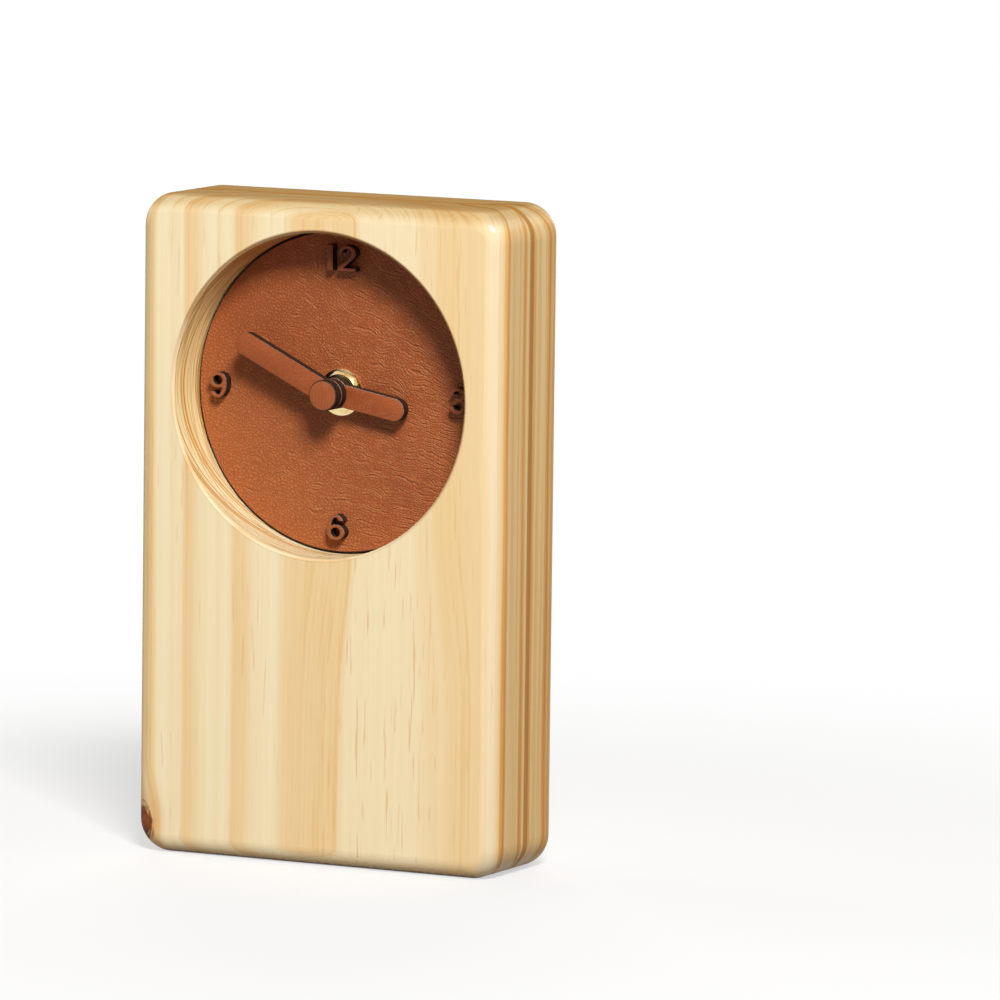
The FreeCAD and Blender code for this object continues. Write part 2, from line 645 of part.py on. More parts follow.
def gear_plate():
    """Plate between the motion work and the train, with the pillars and pegs of the bridge."""
    reach = PILLAR_U + PILLAR_W / 2
    low, high = PILLAR_LOW_V - PILLAR_W / 2, PILLAR_HIGH_V + PILLAR_W / 2
    plate = slab(-reach, reach, PLATE_Y, PLATE_Y + PLATE_T, low, high)
    plate = pivot_holes(plate, PLATE_Y, PLATE_Y + PLATE_T, [THIRD_AT, SECOND_AT, FIFTH_AT, ROTOR_AT], ARBOR_R)
    plate = pivot_holes(plate, PLATE_Y, PLATE_Y + PLATE_T, [SHAFT], CLUTCH_PIVOT_R)
    plate = pivot_holes(plate, PLATE_Y, PLATE_Y + PLATE_T, [SETTING_AT], STEM_R)
    pegs = [disc(PEG_R, BRIDGE_Y, BRIDGE_Y + BRIDGE_T + PEG_STANDOUT, spot) for spot in peg_spots()]
    return plate.fuse(pillars(PLATE_Y + PLATE_T, BRIDGE_Y) + pegs).removeSplitter()


def bridge():
    """Rear plate of the train, set over the pegs of the gear plate."""
    reach = PILLAR_U + PILLAR_W / 2
    low, high = PILLAR_LOW_V - PILLAR_W / 2, PILLAR_HIGH_V + PILLAR_W / 2
    plate = slab(-reach, reach, BRIDGE_Y, BRIDGE_Y + BRIDGE_T, low, high)
    train = [SHAFT, THIRD_AT, SECOND_AT, FIFTH_AT, ROTOR_AT]
    plate = pivot_holes(plate, BRIDGE_Y, BRIDGE_Y + BRIDGE_T, train, ARBOR_R)
    plate = pivot_holes(plate, BRIDGE_Y, BRIDGE_Y + BRIDGE_T, [SETTING_AT], STEM_R)
    return pivot_holes(plate, BRIDGE_Y, BRIDGE_Y + BRIDGE_T, peg_spots(), PEG_R)


# ---- motion work ------------------------------------------------------------------------------
def minute_arbor():
    """Arbor of the minute hand with the cannon pinion and the clutch pivot."""
    pinion_end = MOTION_WHEEL_Y + MOTION_WHEEL_T + PINION_OVERLAP
    arbor = disc(MINUTE_ARBOR_R, MINUTE_FRONT_Y + PIPE_END_GAP, pinion_end)
    pinion = gear(CANNON_TEETH, MOTION_MODULE, CANNON_PHASE, MOTION_WHEEL_Y, pinion_end, SHAFT)
    pivot = disc(CLUTCH_PIVOT_R, pinion_end, CENTRE_WHEEL_Y - LEVEL_GAP + CLUTCH_PIVOT_L)
    return arbor.fuse([pinion, pivot]).removeSplitter()


def hour_wheel():
    wheel_end = HOUR_WHEEL_Y + HOUR_WHEEL_T
    wheel = gear(HOUR_TEETH, HOUR_MODULE, HOUR_PHASE, HOUR_WHEEL_Y, wheel_end, SHAFT)
    pipe = disc(HOUR_PIPE_R, HOUR_FRONT_Y, wheel_end)
    bore = disc(MINUTE_ARBOR_R + RUN_GAP, HOUR_FRONT_Y, wheel_end)
    return wheel.fuse(pipe).cut(bore).removeSplitter()


def motion_wheel():
    wheel_end = MOTION_WHEEL_Y + MOTION_WHEEL_T
    wheel = gear(MOTION_TEETH, MOTION_MODULE, MOTION_PHASE, MOTION_WHEEL_Y, wheel_end, MOTION_AT)
    pinion = gear(MOTION_PINION_TEETH, HOUR_MODULE, MOTION_PHASE, HOUR_WHEEL_Y, MOTION_WHEEL_Y, MOTION_AT)
    bore = disc(MOTION_STUD_R + RUN_GAP, HOUR_WHEEL_Y, wheel_end, MOTION_AT)
    return wheel.fuse(pinion).cut(bore).removeSplitter()


def setting_stem():
    pinion = gear(SETTING_TEETH, MOTION_MODULE, SETTING_PHASE, MOTION_WHEEL_Y,
                  MOTION_WHEEL_Y + MOTION_WHEEL_T, SETTING_AT)
    stem = disc(STEM_R, HOUR_WHEEL_Y, CASE_T + KNOB_GAP, SETTING_AT)
    return stem.fuse(pinion).removeSplitter()


def setting_knob():
    knob_y = CASE_T + KNOB_GAP
    outline = []
    for step in range(4 * KNOB_RIBS):
        radius = KNOB_R if step % 4 < 2 else KNOB_R - KNOB_RIB_H
        outline.append(polar(SETTING_AT, 90.0 * step / KNOB_RIBS, radius))
    knob = prism(outline, knob_y, knob_y + KNOB_T)
    dish = disc(KNOB_R - KNOB_RIM, knob_y + KNOB_T - KNOB_DISH, knob_y + KNOB_T, SETTING_AT)
    return knob.cut(dish)


# ---- going train ------------------------------------------------------------------------------
def centre_wheel():
    """Wheel with a rim on straight spokes; its hub is the socket of the friction clutch."""
    wheel_end = CENTRE_WHEEL_Y + WHEEL_T
    hub_y = CENTRE_WHEEL_Y - LEVEL_GAP
    wheel = gear(CENTRE_TEETH, CENTRE_MODULE, CENTRE_PHASE, CENTRE_WHEEL_Y, wheel_end, SHAFT)
    rim_r = (CENTRE_TEETH / 2 - DEDENDUM) * CENTRE_MODULE - WHEEL_RIM
    openings = tube(rim_r, CENTRE_HUB_R + WHEEL_RIM, CENTRE_WHEEL_Y, wheel_end)
    for index in range(WHEEL_SPOKES):
        spoke = slab(0, rim_r, CENTRE_WHEEL_Y, wheel_end, -SPOKE_W / 2, SPOKE_W / 2)
        openings = openings.cut(turned(spoke, 360.0 * index / WHEEL_SPOKES))
    hub = disc(CENTRE_HUB_R, hub_y, hub_y + CENTRE_HUB_L)
    arbor = disc(ARBOR_R, hub_y + CENTRE_HUB_L, BRIDGE_Y + BRIDGE_T)
    socket = disc(CLUTCH_PIVOT_R + RUN_GAP, hub_y, hub_y + CLUTCH_PIVOT_L + RUN_GAP)
    return wheel.cut(openings).fuse([hub, arbor]).cut(socket).removeSplitter()


def third_wheel():
    return arbor_wheel(THIRD_TEETH, THIRD_MODULE, THIRD_PHASE, THIRD_PINION_TEETH, CENTRE_MODULE,
                       THIRD_WHEEL_Y, CENTRE_WHEEL_Y - PINION_OVERLAP, THIRD_WHEEL_Y, THIRD_AT)


def second_wheel():
    return arbor_wheel(SECOND_TEETH, SECOND_MODULE, SECOND_PHASE, SECOND_PINION_TEETH, THIRD_MODULE,
                       SECOND_WHEEL_Y, THIRD_WHEEL_Y - PINION_OVERLAP, SECOND_WHEEL_Y, SECOND_AT)


def fifth_wheel():
    return arbor_wheel(FIFTH_TEETH, FIFTH_MODULE, FIFTH_PHASE, FIFTH_PINION_TEETH, SECOND_MODULE,
                       FIFTH_WHEEL_Y, SECOND_WHEEL_Y - PINION_OVERLAP, FIFTH_WHEEL_Y, FIFTH_AT)


def magnet_start():
    return STATOR_Y + STATOR_T / 2 - MAGNET_T / 2


def rotor_magnet():
    return tube(MAGNET_R, ARBOR_R, magnet_start(), magnet_start() + MAGNET_T, ROTOR_AT)


def rotor_arbor():
    pinion = gear(ROTOR_PINION_TEETH, FIFTH_MODULE, ROTOR_PHASE, FIFTH_WHEEL_Y - PINION_OVERLAP,
                  FIFTH_WHEEL_Y + WHEEL_T + PINION_OVERLAP, ROTOR_AT)
    front = disc(ARBOR_R, PLATE_Y, magnet_start() + MAGNET_T + PINION_OVERLAP, ROTOR_AT)
    root_r = ROTOR_PINION_TEETH * FIFTH_MODULE / 2 - DEDENDUM * FIFTH_MODULE
    core = disc(root_r, magnet_start(), BRIDGE_Y, ROTOR_AT)
    rear = disc(ARBOR_R, FIFTH_WHEEL_Y + WHEEL_T + PINION_OVERLAP, BRIDGE_Y + BRIDGE_T, ROTOR_AT)
    return front.fuse([core, pinion, rear]).removeSplitter()


# ---- motor and circuit --------------------------------------------------------------------------
def stator():
    """C-shaped pole plate: a bar with the rotor hole, and two legs to the coil's core."""
    bar_left, bar_right = ROTOR_AT[0] - POLE_W / 2, ROTOR_AT[0] + POLE_W / 2
    leg_left = COIL_U - CORE_W / 2
    y1 = STATOR_Y + STATOR_T
    pole = slab(bar_left, bar_right, STATOR_Y, y1, STATOR_FOOT_V, STATOR_TOP_V)
    upper = slab(leg_left, bar_left, STATOR_Y, y1, STATOR_TOP_V - LEG_W, STATOR_TOP_V)
    lower = slab(leg_left, bar_left, STATOR_Y, y1, STATOR_FOOT_V, STATOR_FOOT_V + LEG_W)
    hole = disc(MAGNET_R + AIR_GAP, STATOR_Y, y1, ROTOR_AT)
    return pole.fuse([upper, lower]).cut(hole).removeSplitter()


def coil_core():
    y0 = STATOR_Y + STATOR_T
    return slab(COIL_U - CORE_W / 2, COIL_U + CORE_W / 2, y0, y0 + CORE_T, STATOR_FOOT_V, STATOR_TOP_V)


def coil_span():
    low = STATOR_FOOT_V + LEG_W + BOBBIN_WALL
    return low, BOARD_LOW_V - BOBBIN_WALL


def coil_round(radius, v0, v1):
    y = STATOR_Y + STATOR_T + CORE_T / 2
    return Part.makeCylinder(radius, v1 - v0, at(COIL_U, y, v0), FreeCAD.Vector(0, 0, 1))


def bobbin_tube_r():
    return math.hypot(CORE_W / 2, CORE_T / 2) + BOBBIN_WALL


def coil_bobbin():
    low, high = coil_span()
    barrel = coil_round(bobbin_tube_r(), low, high)
    y0 = STATOR_Y + STATOR_T
    axis_y = y0 + CORE_T / 2
    flanges = []
    for v in (low, high - BOBBIN_WALL):
        flanges.append(slab(COIL_U - WINDING_R, COIL_U + WINDING_R, axis_y - WINDING_R, axis_y + WINDING_R,
                            v, v + BOBBIN_WALL))
    slot = slab(COIL_U - CORE_W / 2, COIL_U + CORE_W / 2, y0, y0 + CORE_T, low, high)
    return barrel.fuse(flanges).cut(slot).removeSplitter()


def coil_winding():
    low, high = coil_span()
    v0, v1 = low + BOBBIN_WALL, high - BOBBIN_WALL
    return coil_round(WINDING_R, v0, v1).cut(coil_round(bobbin_tube_r(), v0, v1))


BOARD_Y = STATOR_Y + STATOR_T + CORE_T


def circuit_board():
    reach = BAY_HALF_L - CONTACT_T
    return slab(-reach, reach, BOARD_Y, BOARD_Y + BOARD_T, BOARD_LOW_V, BOARD_HIGH_V)


def timer_chip():
    """Drop of black resin over the chip."""
    y0 = BOARD_Y + BOARD_T
    spot = (CHIP_U, (BOARD_LOW_V + BOARD_HIGH_V) / 2)
    drop = disc(CHIP_R, y0, y0 + CHIP_T, spot)
    return drop.makeChamfer(CHIP_EDGE, edges_on(drop, y0 + CHIP_T))


def quartz_crystal():
    y = BOARD_Y + BOARD_T + CRYSTAL_R
    v = (BOARD_LOW_V + BOARD_HIGH_V) / 2
    return Part.makeCylinder(CRYSTAL_R, CRYSTAL_L, at(CRYSTAL_U, y, v), FreeCAD.Vector(1, 0, 0))


# ---- battery ----------------------------------------------------------------------------------
def cell_end_u():
    return BAY_HALF_L - CONTACT_T - CELL_END_GAP


def battery_cell():
    can_l = CELL_L - CELL_NUB_L
    along = FreeCAD.Vector(-1, 0, 0)
    can = Part.makeCylinder(CELL_R, can_l, at(cell_end_u() - CELL_NUB_L, CELL_Y, CELL_V), along)
    can = can.makeChamfer(CELL_EDGE, [e for e in can.Edges if isinstance(e.Curve, Part.Circle)])
    nub = Part.makeCylinder(CELL_NUB_R, CELL_NUB_L, at(cell_end_u(), CELL_Y, CELL_V), along)
    return can.fuse(nub).removeSplitter()


def contact_strip(side):
    """Blade on the bay's end wall with a tail that climbs to the circuit board."""
    wall = side * BAY_HALF_L
    face = side * (BAY_HALF_L - CONTACT_T)
    u0, u1 = min(wall, face), max(wall, face)
    blade = slab(u0, u1, CELL_Y - CELL_R / 2, CELL_Y + CELL_R / 2, CELL_V - CELL_R / 2, BAY_ROOF_V)
    tail = slab(u0, u1, BOARD_Y, BOARD_Y + BOARD_T, BAY_ROOF_V, BOARD_HIGH_V)
    return blade.fuse(tail)


def contact_positive():
    return contact_strip(1).removeSplitter()


def contact_negative():
    """Strip with a bowed leaf that presses on the cell's flat end."""
    face_u = -(BAY_HALF_L - CONTACT_T)
    tip_u = face_u + CONTACT_SPRING_H
    half = CELL_R / 2
    radius = (half * half + CONTACT_SPRING_H * CONTACT_SPRING_H) / (2 * CONTACT_SPRING_H)
    bow = tube(radius, radius - CONTACT_T, CELL_Y - half, CELL_Y + half, (tip_u - radius, CELL_V))
    bow = bow.common(slab(face_u, tip_u, CELL_Y - half, CELL_Y + half, CELL_V - half, CELL_V + half))
    return contact_strip(-1).fuse(bow).removeSplitter()


# ---- all nodes --------------------------------------------------------------------------------
def numerals():
    ply_y = DIAL_FACE_Y - SHEET_PLY_T
    face_y = DIAL_FACE_Y - SHEET_T
    makers = {"12": numeral_twelve, "3": numeral_three, "6": numeral_six, "9": numeral_nine}
    for label, make in makers.items():
        save("numeral_" + label + "_base", make(ply_y, DIAL_FACE_Y))
        save("numeral_" + label + "_leather", make(face_y, ply_y))


PIECES = [
    front_board, back_board, dial_base, dial_leather,
    hour_hand_base, hour_hand_leather, hour_hand_bush,
    minute_hand_base, minute_hand_leather, minute_hand_bush, hub_cap_base, hub_cap_leather,
    threaded_bush, washer, hex_nut,
    front_case, rear_cover, gear_plate, bridge,
    minute_arbor, hour_wheel, motion_wheel, setting_stem, setting_knob,
    centre_wheel, third_wheel, second_wheel, fifth_wheel, rotor_magnet, rotor_arbor,
    stator, coil_core, coil_bobbin, coil_winding, circuit_board, timer_chip, quartz_crystal,
    battery_cell, contact_positive, contact_negative,
]

for piece in PIECES:
    save(piece.__name__, piece())
numerals()
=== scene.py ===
"""An upright desk clock in pine and leather, dressed over its construction model.
Lengths are in metres; a name that ends in _mm is in millimetres."""

import math

import bmesh
import bpy
from mathutils import Matrix, Vector


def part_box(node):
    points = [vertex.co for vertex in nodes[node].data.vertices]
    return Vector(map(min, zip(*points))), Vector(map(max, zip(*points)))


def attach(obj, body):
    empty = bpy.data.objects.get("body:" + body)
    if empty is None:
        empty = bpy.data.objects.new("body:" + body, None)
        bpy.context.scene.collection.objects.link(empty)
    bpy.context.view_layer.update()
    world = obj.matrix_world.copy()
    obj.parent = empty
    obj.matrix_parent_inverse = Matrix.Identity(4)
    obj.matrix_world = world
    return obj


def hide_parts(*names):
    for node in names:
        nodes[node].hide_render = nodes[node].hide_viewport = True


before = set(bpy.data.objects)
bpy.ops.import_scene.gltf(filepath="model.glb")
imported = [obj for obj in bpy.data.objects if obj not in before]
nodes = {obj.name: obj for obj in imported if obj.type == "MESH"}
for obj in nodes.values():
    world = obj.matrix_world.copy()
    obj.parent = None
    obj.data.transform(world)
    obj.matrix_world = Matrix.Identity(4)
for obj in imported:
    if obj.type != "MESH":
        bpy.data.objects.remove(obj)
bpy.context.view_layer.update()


# ---- Camera ----
# A long lens to the right of the clock and a little above it, which looks down on it by a few
# degrees and leans to one side by less than one.
camera_round = math.radians(26.7035)
camera_height = math.radians(6.8177)
camera_tilt = math.radians(0.70727)
camera_distance = 2.678587
clock_middle = Vector((0, 0, 0.090))
camera_aside = 0.04124993
camera_up = 0.008227345

to_camera = Vector((
    math.sin(camera_round) * math.cos(camera_height),
    -math.cos(camera_round) * math.cos(camera_height),
    math.sin(camera_height),
))
level_right = Vector((math.cos(camera_round), math.sin(camera_round), 0))
level_up = to_camera.cross(level_right)
picture_right = level_right * math.cos(camera_tilt) + level_up * math.sin(camera_tilt)
picture_up = level_up * math.cos(camera_tilt) - level_right * math.sin(camera_tilt)


def linked(name, data):
    """A new object of the scene."""
    thing = bpy.data.objects.new(name, data)
    bpy.context.scene.collection.objects.link(thing)
    return thing


camera = linked("camera", bpy.data.cameras.new("camera"))
camera.data.lens = 356.63
camera.data.sensor_width = 36
camera.data.clip_end = 100
camera_place = (clock_middle + to_camera * camera_distance
                + level_right * camera_aside + level_up * camera_up)
camera_turn = Matrix((picture_right, picture_up, to_camera)).transposed()
camera.matrix_world = Matrix.Translation(camera_place) @ camera_turn.to_4x4()
bpy.context.scene.camera = camera
bpy.context.scene.view_settings.view_transform = "Standard"


# ---- Table top and light ----
# A plain pale table top that runs out of sight. Near the clock it takes the clock's shadow, and
# further off it is even white. A softbox high in front on the right gives most of the light, and
# three weaker ones stand at the right, at the left and behind.
class Amount:
    """A value that changes over a surface. Sums with it add the Math nodes that work them out."""

    def __init__(self, recipe, socket):
        self.recipe = recipe
        self.socket = socket

    def worked(self, operation, *values):
        return self.recipe.step("ShaderNodeMath", {"operation": operation}, dict(enumerate(values)))

    def __add__(self, other):
        return self.worked("ADD", self, other)

    def __sub__(self, other):
        return self.worked("SUBTRACT", self, other)

    def __rsub__(self, other):
        return self.worked("SUBTRACT", other, self)

    def __mul__(self, other):
        return self.worked("MULTIPLY", self, other)

    def __truediv__(self, other):
        return self.worked("DIVIDE", self, other)

    def __pow__(self, power):
        return self.worked("POWER", self, power)

    def __abs__(self):
        return self.worked("ABSOLUTE", self)

    def or_higher(self, other):
        return self.worked("MAXIMUM", self, other)

    __radd__ = __add__
    __rmul__ = __mul__


class Recipe:
    """The nodes of one finish or of one shaping tree, added step by step."""

    def __init__(self, tree):
        self.tree = tree
        tree.nodes.clear()

    def step(self, kind, settings=None, values=None, out=0):
        node = self.tree.nodes.new(kind)
        for name, setting in (settings or {}).items():
            if name == "stops":
                ramp = node.color_ramp
                while len(ramp.elements) < len(setting):
                    ramp.elements.new(0.5)
                for element, (place, shade) in zip(ramp.elements, setting):
                    element.position = place
                    element.color = shade
            else:
                setattr(node, name, setting)
        for name, value in (values or {}).items():
            if isinstance(value, Amount):
                self.tree.links.new(value.socket, node.inputs[name])
            else:
                node.inputs[name].default_value = value
        return Amount(self, node.outputs[out]) if node.outputs else None

    def apart(self, vector):
        parts = self.step("ShaderNodeSeparateXYZ", None, {0: vector})
        return [Amount(self, socket) for socket in parts.socket.node.outputs]

    def together(self, x, y, z):
        return self.step("ShaderNodeCombineXYZ", None, {0: x, 1: y, 2: z})

    def vector(self, operation, values):
        return self.step("ShaderNodeVectorMath", {"operation": operation}, values)

    def eased(self, value, low, high):
        """0 where value is at low, 1 where it is at high, and a smooth rise between."""
        values = {"Value": value, "From Min": low, "From Max": high}
        return self.step("ShaderNodeMapRange", {"interpolation_type": "SMOOTHSTEP"}, values)

    def looked_at(self):
        """1 for what is looked at, mirrored or through glass too, 0 for what only gives light."""
        light_path = self.tree.nodes.new("ShaderNodeLightPath").outputs
        ways = ("Is Camera Ray", "Is Glossy Ray", "Is Transmission Ray")
        seen, mirrored, through = [Amount(self, light_path[way]) for way in ways]
        return seen.or_higher(mirrored.or_higher(through))


class Finish(Recipe):
    """A material, read in millimetres of the clock's own frame."""

    def __init__(self, name):
        self.material = bpy.data.materials.new(name)
        self.material.use_nodes = True
        super().__init__(self.material.node_tree)

    def place_mm(self):
        return self.vector("SCALE", {0: self.step("ShaderNodeTexCoord", out=3), "Scale": 1000})

    def facing(self):
        """How far the surface faces along x, y and z, each from -1 to 1."""
        return self.apart(self.step("ShaderNodeTexCoord", out=1))

    def noise(self, vector, scale, detail=2.0, roughness=0.5):
        values = {"Vector": vector, "Scale": scale, "Detail": detail, "Roughness": roughness}
        return self.step("ShaderNodeTexNoise", None, values)

    def blend(self, share, first, second, way="MIX"):
        settings = {"data_type": "RGBA", "blend_type": way}
        return self.step("ShaderNodeMix", settings, {0: share, 6: first, 7: second}, out=2)

    def bump(self, height, depth_mm):
        values = {"Height": height, "Distance": depth_mm / 1000, "Strength": 1.0}
        return self.step("ShaderNodeBump", None, values)

    def cover(self, values):
        shader = self.step("ShaderNodeBsdfPrincipled", None, values)
        self.step("ShaderNodeOutputMaterial", None, {"Surface": shader})
        return self.material


def colour(code):
    """A linear colour from the six figures of its screen colour."""
    parts = [int(code[i:i + 2], 16) / 255 for i in (0, 2, 4)]
    return tuple(p / 12.92 if p <= 0.04045 else ((p + 0.055) / 1.055) ** 2.4 for p in parts) + (1.0,)


table_half = 12.0
shadow_reach_mm = 420.0
white = (1.0, 1.0, 1.0, 1.0)

table_corners = [(x * table_half, y * table_half, 0) for x, y in ((-1, -1), (1, -1), (1, 1), (-1, 1))]
table_mesh = bpy.data.meshes.new("table_top")
table_mesh.from_pydata(table_corners, [], [(0, 1, 2, 3)])
table_top = linked("table_top", table_mesh)
table_finish = Finish("table_paint")
table_x, table_y = table_finish.apart(table_finish.place_mm())[:2]
from_clock = (table_x ** 2 + table_y ** 2) ** 0.5
evened = table_finish.eased(from_clock, shadow_reach_mm * 0.35, shadow_reach_mm)
paint = table_finish.step("ShaderNodeBsdfDiffuse", None, {"Color": (0.80, 0.80, 0.80, 1.0)})
dull_paint = table_finish.step("ShaderNodeBsdfDiffuse", None, {"Color": (0.32, 0.31, 0.29, 1.0)})
glow = table_finish.step("ShaderNodeEmission", None, {"Color": white, "Strength": 1.0})
lit_top = table_finish.step("ShaderNodeMixShader", None, {0: 0.58 + 0.42 * evened, 1: paint, 2: glow})
table_look = table_finish.step("ShaderNodeMixShader", None, {
    0: table_finish.looked_at(), 1: dull_paint, 2: lit_top,
})
table_finish.step("ShaderNodeOutputMaterial", None, {"Surface": table_look})
table_mesh.materials.append(table_finish.material)

room = bpy.data.worlds.new("room")
room.use_nodes = True
bpy.context.scene.world = room
air = Recipe(room.node_tree)
soft_light = air.step("ShaderNodeBackground", None, {
    "Color": (0.84, 0.94, 1.0, 1.0), "Strength": 0.036,
})
backdrop = air.step("ShaderNodeBackground", None, {"Color": white, "Strength": 1.0})
room_look = air.step("ShaderNodeMixShader", None, {0: air.looked_at(), 1: soft_light, 2: backdrop})
air.step("ShaderNodeOutputWorld", None, {"Surface": room_look})


def softbox(name, round_deg, up_deg, distance, width, height, watts, tint):
    """A flat lamp that shines at the middle of the clock, so many degrees round it and up."""
    turn, rise = math.radians(round_deg), math.radians(up_deg)
    level = math.cos(rise)
    toward = Vector((math.sin(turn) * level, -math.cos(turn) * level, math.sin(rise)))
    lamp = linked(name, bpy.data.lights.new(name, "AREA"))
    lamp.data.shape = "RECTANGLE"
    lamp.data.size = width
    lamp.data.size_y = height
    lamp.data.energy = watts
    lamp.data.color = tint
    lamp.location = clock_middle + toward * distance
    lamp.rotation_euler = toward.to_track_quat("Z", "Y").to_euler()


# Degrees round and up, distance, width, height, watts and tint.
for lamp_values in (
    ("main_light", 36, 39, 2.4, 0.6, 0.6, 76.5, (1.0, 0.985, 0.955)),
    ("side_light", 110, 10, 1.8, 0.6, 1.0, 0.5, (1.0, 0.98, 0.96)),
    ("left_light", 262, 18, 1.8, 0.6, 1.0, 6.0, (1.0, 0.98, 0.95)),
    ("rear_light", 205, 16, 1.8, 1.0, 1.0, 20.0, (1.0, 0.99, 0.97)),
):
    softbox(*lamp_values)


# ---- Pine block ----
# Two boards glued face to face, worked to rounded edges, with the window bored through the front
# one and the movement's pocket milled in the back one. Flat-sawn pine under a thin satin varnish:
# the growth layers run up the boards round a heart that lies outside them.

# Half the block's width, its height, the height of the hands' axis, and the window's radius.
block_half_mm = 55.0
block_high_mm = 180.0
shaft_mm = 127.5
window_mm = 44.0


def layered(finish, across_mm, layers):
    """Tone at a place across the board, from (place, tone) pairs. One ramp holds at most 32."""
    total = None
    for first in range(0, len(layers) - 1, 30):
        run = layers[first:first + 31]
        start, span = run[0][0], run[-1][0] - run[0][0]
        stops = [((place - start) / span, (tone / 2, tone / 2, tone / 2, 1)) for place, tone in run]
        ramp = finish.step("ShaderNodeValToRGB", {"stops": stops}, {0: (across_mm - start) / span})
        total = ramp if total is None else total + ramp - run[0][1] / 2
    return total * 2


def round_heart(finish, x, y, z, heart_mm, face_mm, flare):
    """How far from the heart the layer at a spot meets the face, and 1 if to the right of it or 0."""
    slow = finish.noise(finish.together(x * 0.012, y * 0.012, z * 0.009), 1.0, 1.0)
    ripple = finish.noise(finish.together(x * 0.09, y * 0.09, z * 0.020), 1.0, 2.0)
    aside = x - heart_mm[0] + (slow - 0.5) * 3.0 + (ripple - 0.5) * 1.2
    if flare:
        from_flare = x - flare["x"]
        near_flare = 1 - finish.eased(abs(from_flare), flare["half"] * 0.9, flare["half"] * 2.3)
        flared = near_flare * finish.eased(z, flare["low"], flare["high"])
        aside = aside + from_flare * flared * flare["share"]
    inward = y - heart_mm[1]
    depth_to_heart = abs(face_mm - heart_mm[1])
    reach = (aside ** 2 + inward ** 2 - depth_to_heart ** 2).or_higher(0.0) ** 0.5
    return reach, finish.eased(aside, -6.0, 6.0)


def window_wall(finish, wood, above, out, bored):
    """Painted light and shade on the wood in the window: paler below, lightened at the sides as
    painted light, darkened overhead as painted shade, and the lip round it darkened as painted shade,
    most at the top.
    """
    wood = finish.blend(bored, wood, colour("FAFAEA"), "MULTIPLY")
    sill = bored * finish.eased(0 - above, 9.5, 39.5)
    wood = finish.blend(sill * 0.55, wood, colour("DAD7BC"))
    # Painted light: the sides of the wall, where the lamp only grazes, are lightened.
    painted_side_light = bored * finish.eased(above, -15.5, 14.5) * (1 - finish.eased(above, 25.5, 37.5))
    wood = finish.blend(painted_side_light * 0.80, wood, colour("FFE5A6"))
    # Painted shade: the wall overhead is darkened and reddened.
    painted_overhead_shade = bored * finish.eased(above, 24.5, 38.5)
    wood = finish.blend(painted_overhead_shade, wood, colour("DAA08A"), "MULTIPLY")
    # Painted shade on the lip round the window, slight below and heavy at the top.
    lip = (1 - finish.eased(out, window_mm + 0.6, window_mm + 1.1)) * (1 - bored)
    painted_lip_shade = lip * (0.16 + 0.56 * finish.eased(above, 2.5, 28.5))
    return finish.blend(painted_lip_shade, wood, colour("9E713A"), "MULTIPLY")


def joint_and_foot(finish, wood, y, z, strand, fibre):
    """The glue joint between the boards, a ragged dark line; the foot lightened as painted light
    against its shade; and a thin dark line along the very bottom.
    """
    seam_edge = 1.15 + (strand - 0.5) * 1.2
    seam = 1 - finish.eased(abs(y) - seam_edge, -0.25, 0.35)
    wood = finish.blend(seam * 0.88, wood, finish.blend(fibre, colour("9C6220"), colour("C48B44")))
    # Painted light: the foot is lightened and warmed against the shade under the bottom edge.
    painted_foot_light = 1 - finish.eased(z + (strand - 0.5) * 1.5, 0.1, 3.4)
    wood = finish.blend(painted_foot_light * 0.55, wood, colour("F2C182"))
    # A thin dark line along the very bottom.
    heel = 1 - finish.eased(z + (strand - 0.5) * 1.2, 0.3, 1.5)
    return finish.blend(heel * 0.8, wood, colour("5C3516"))


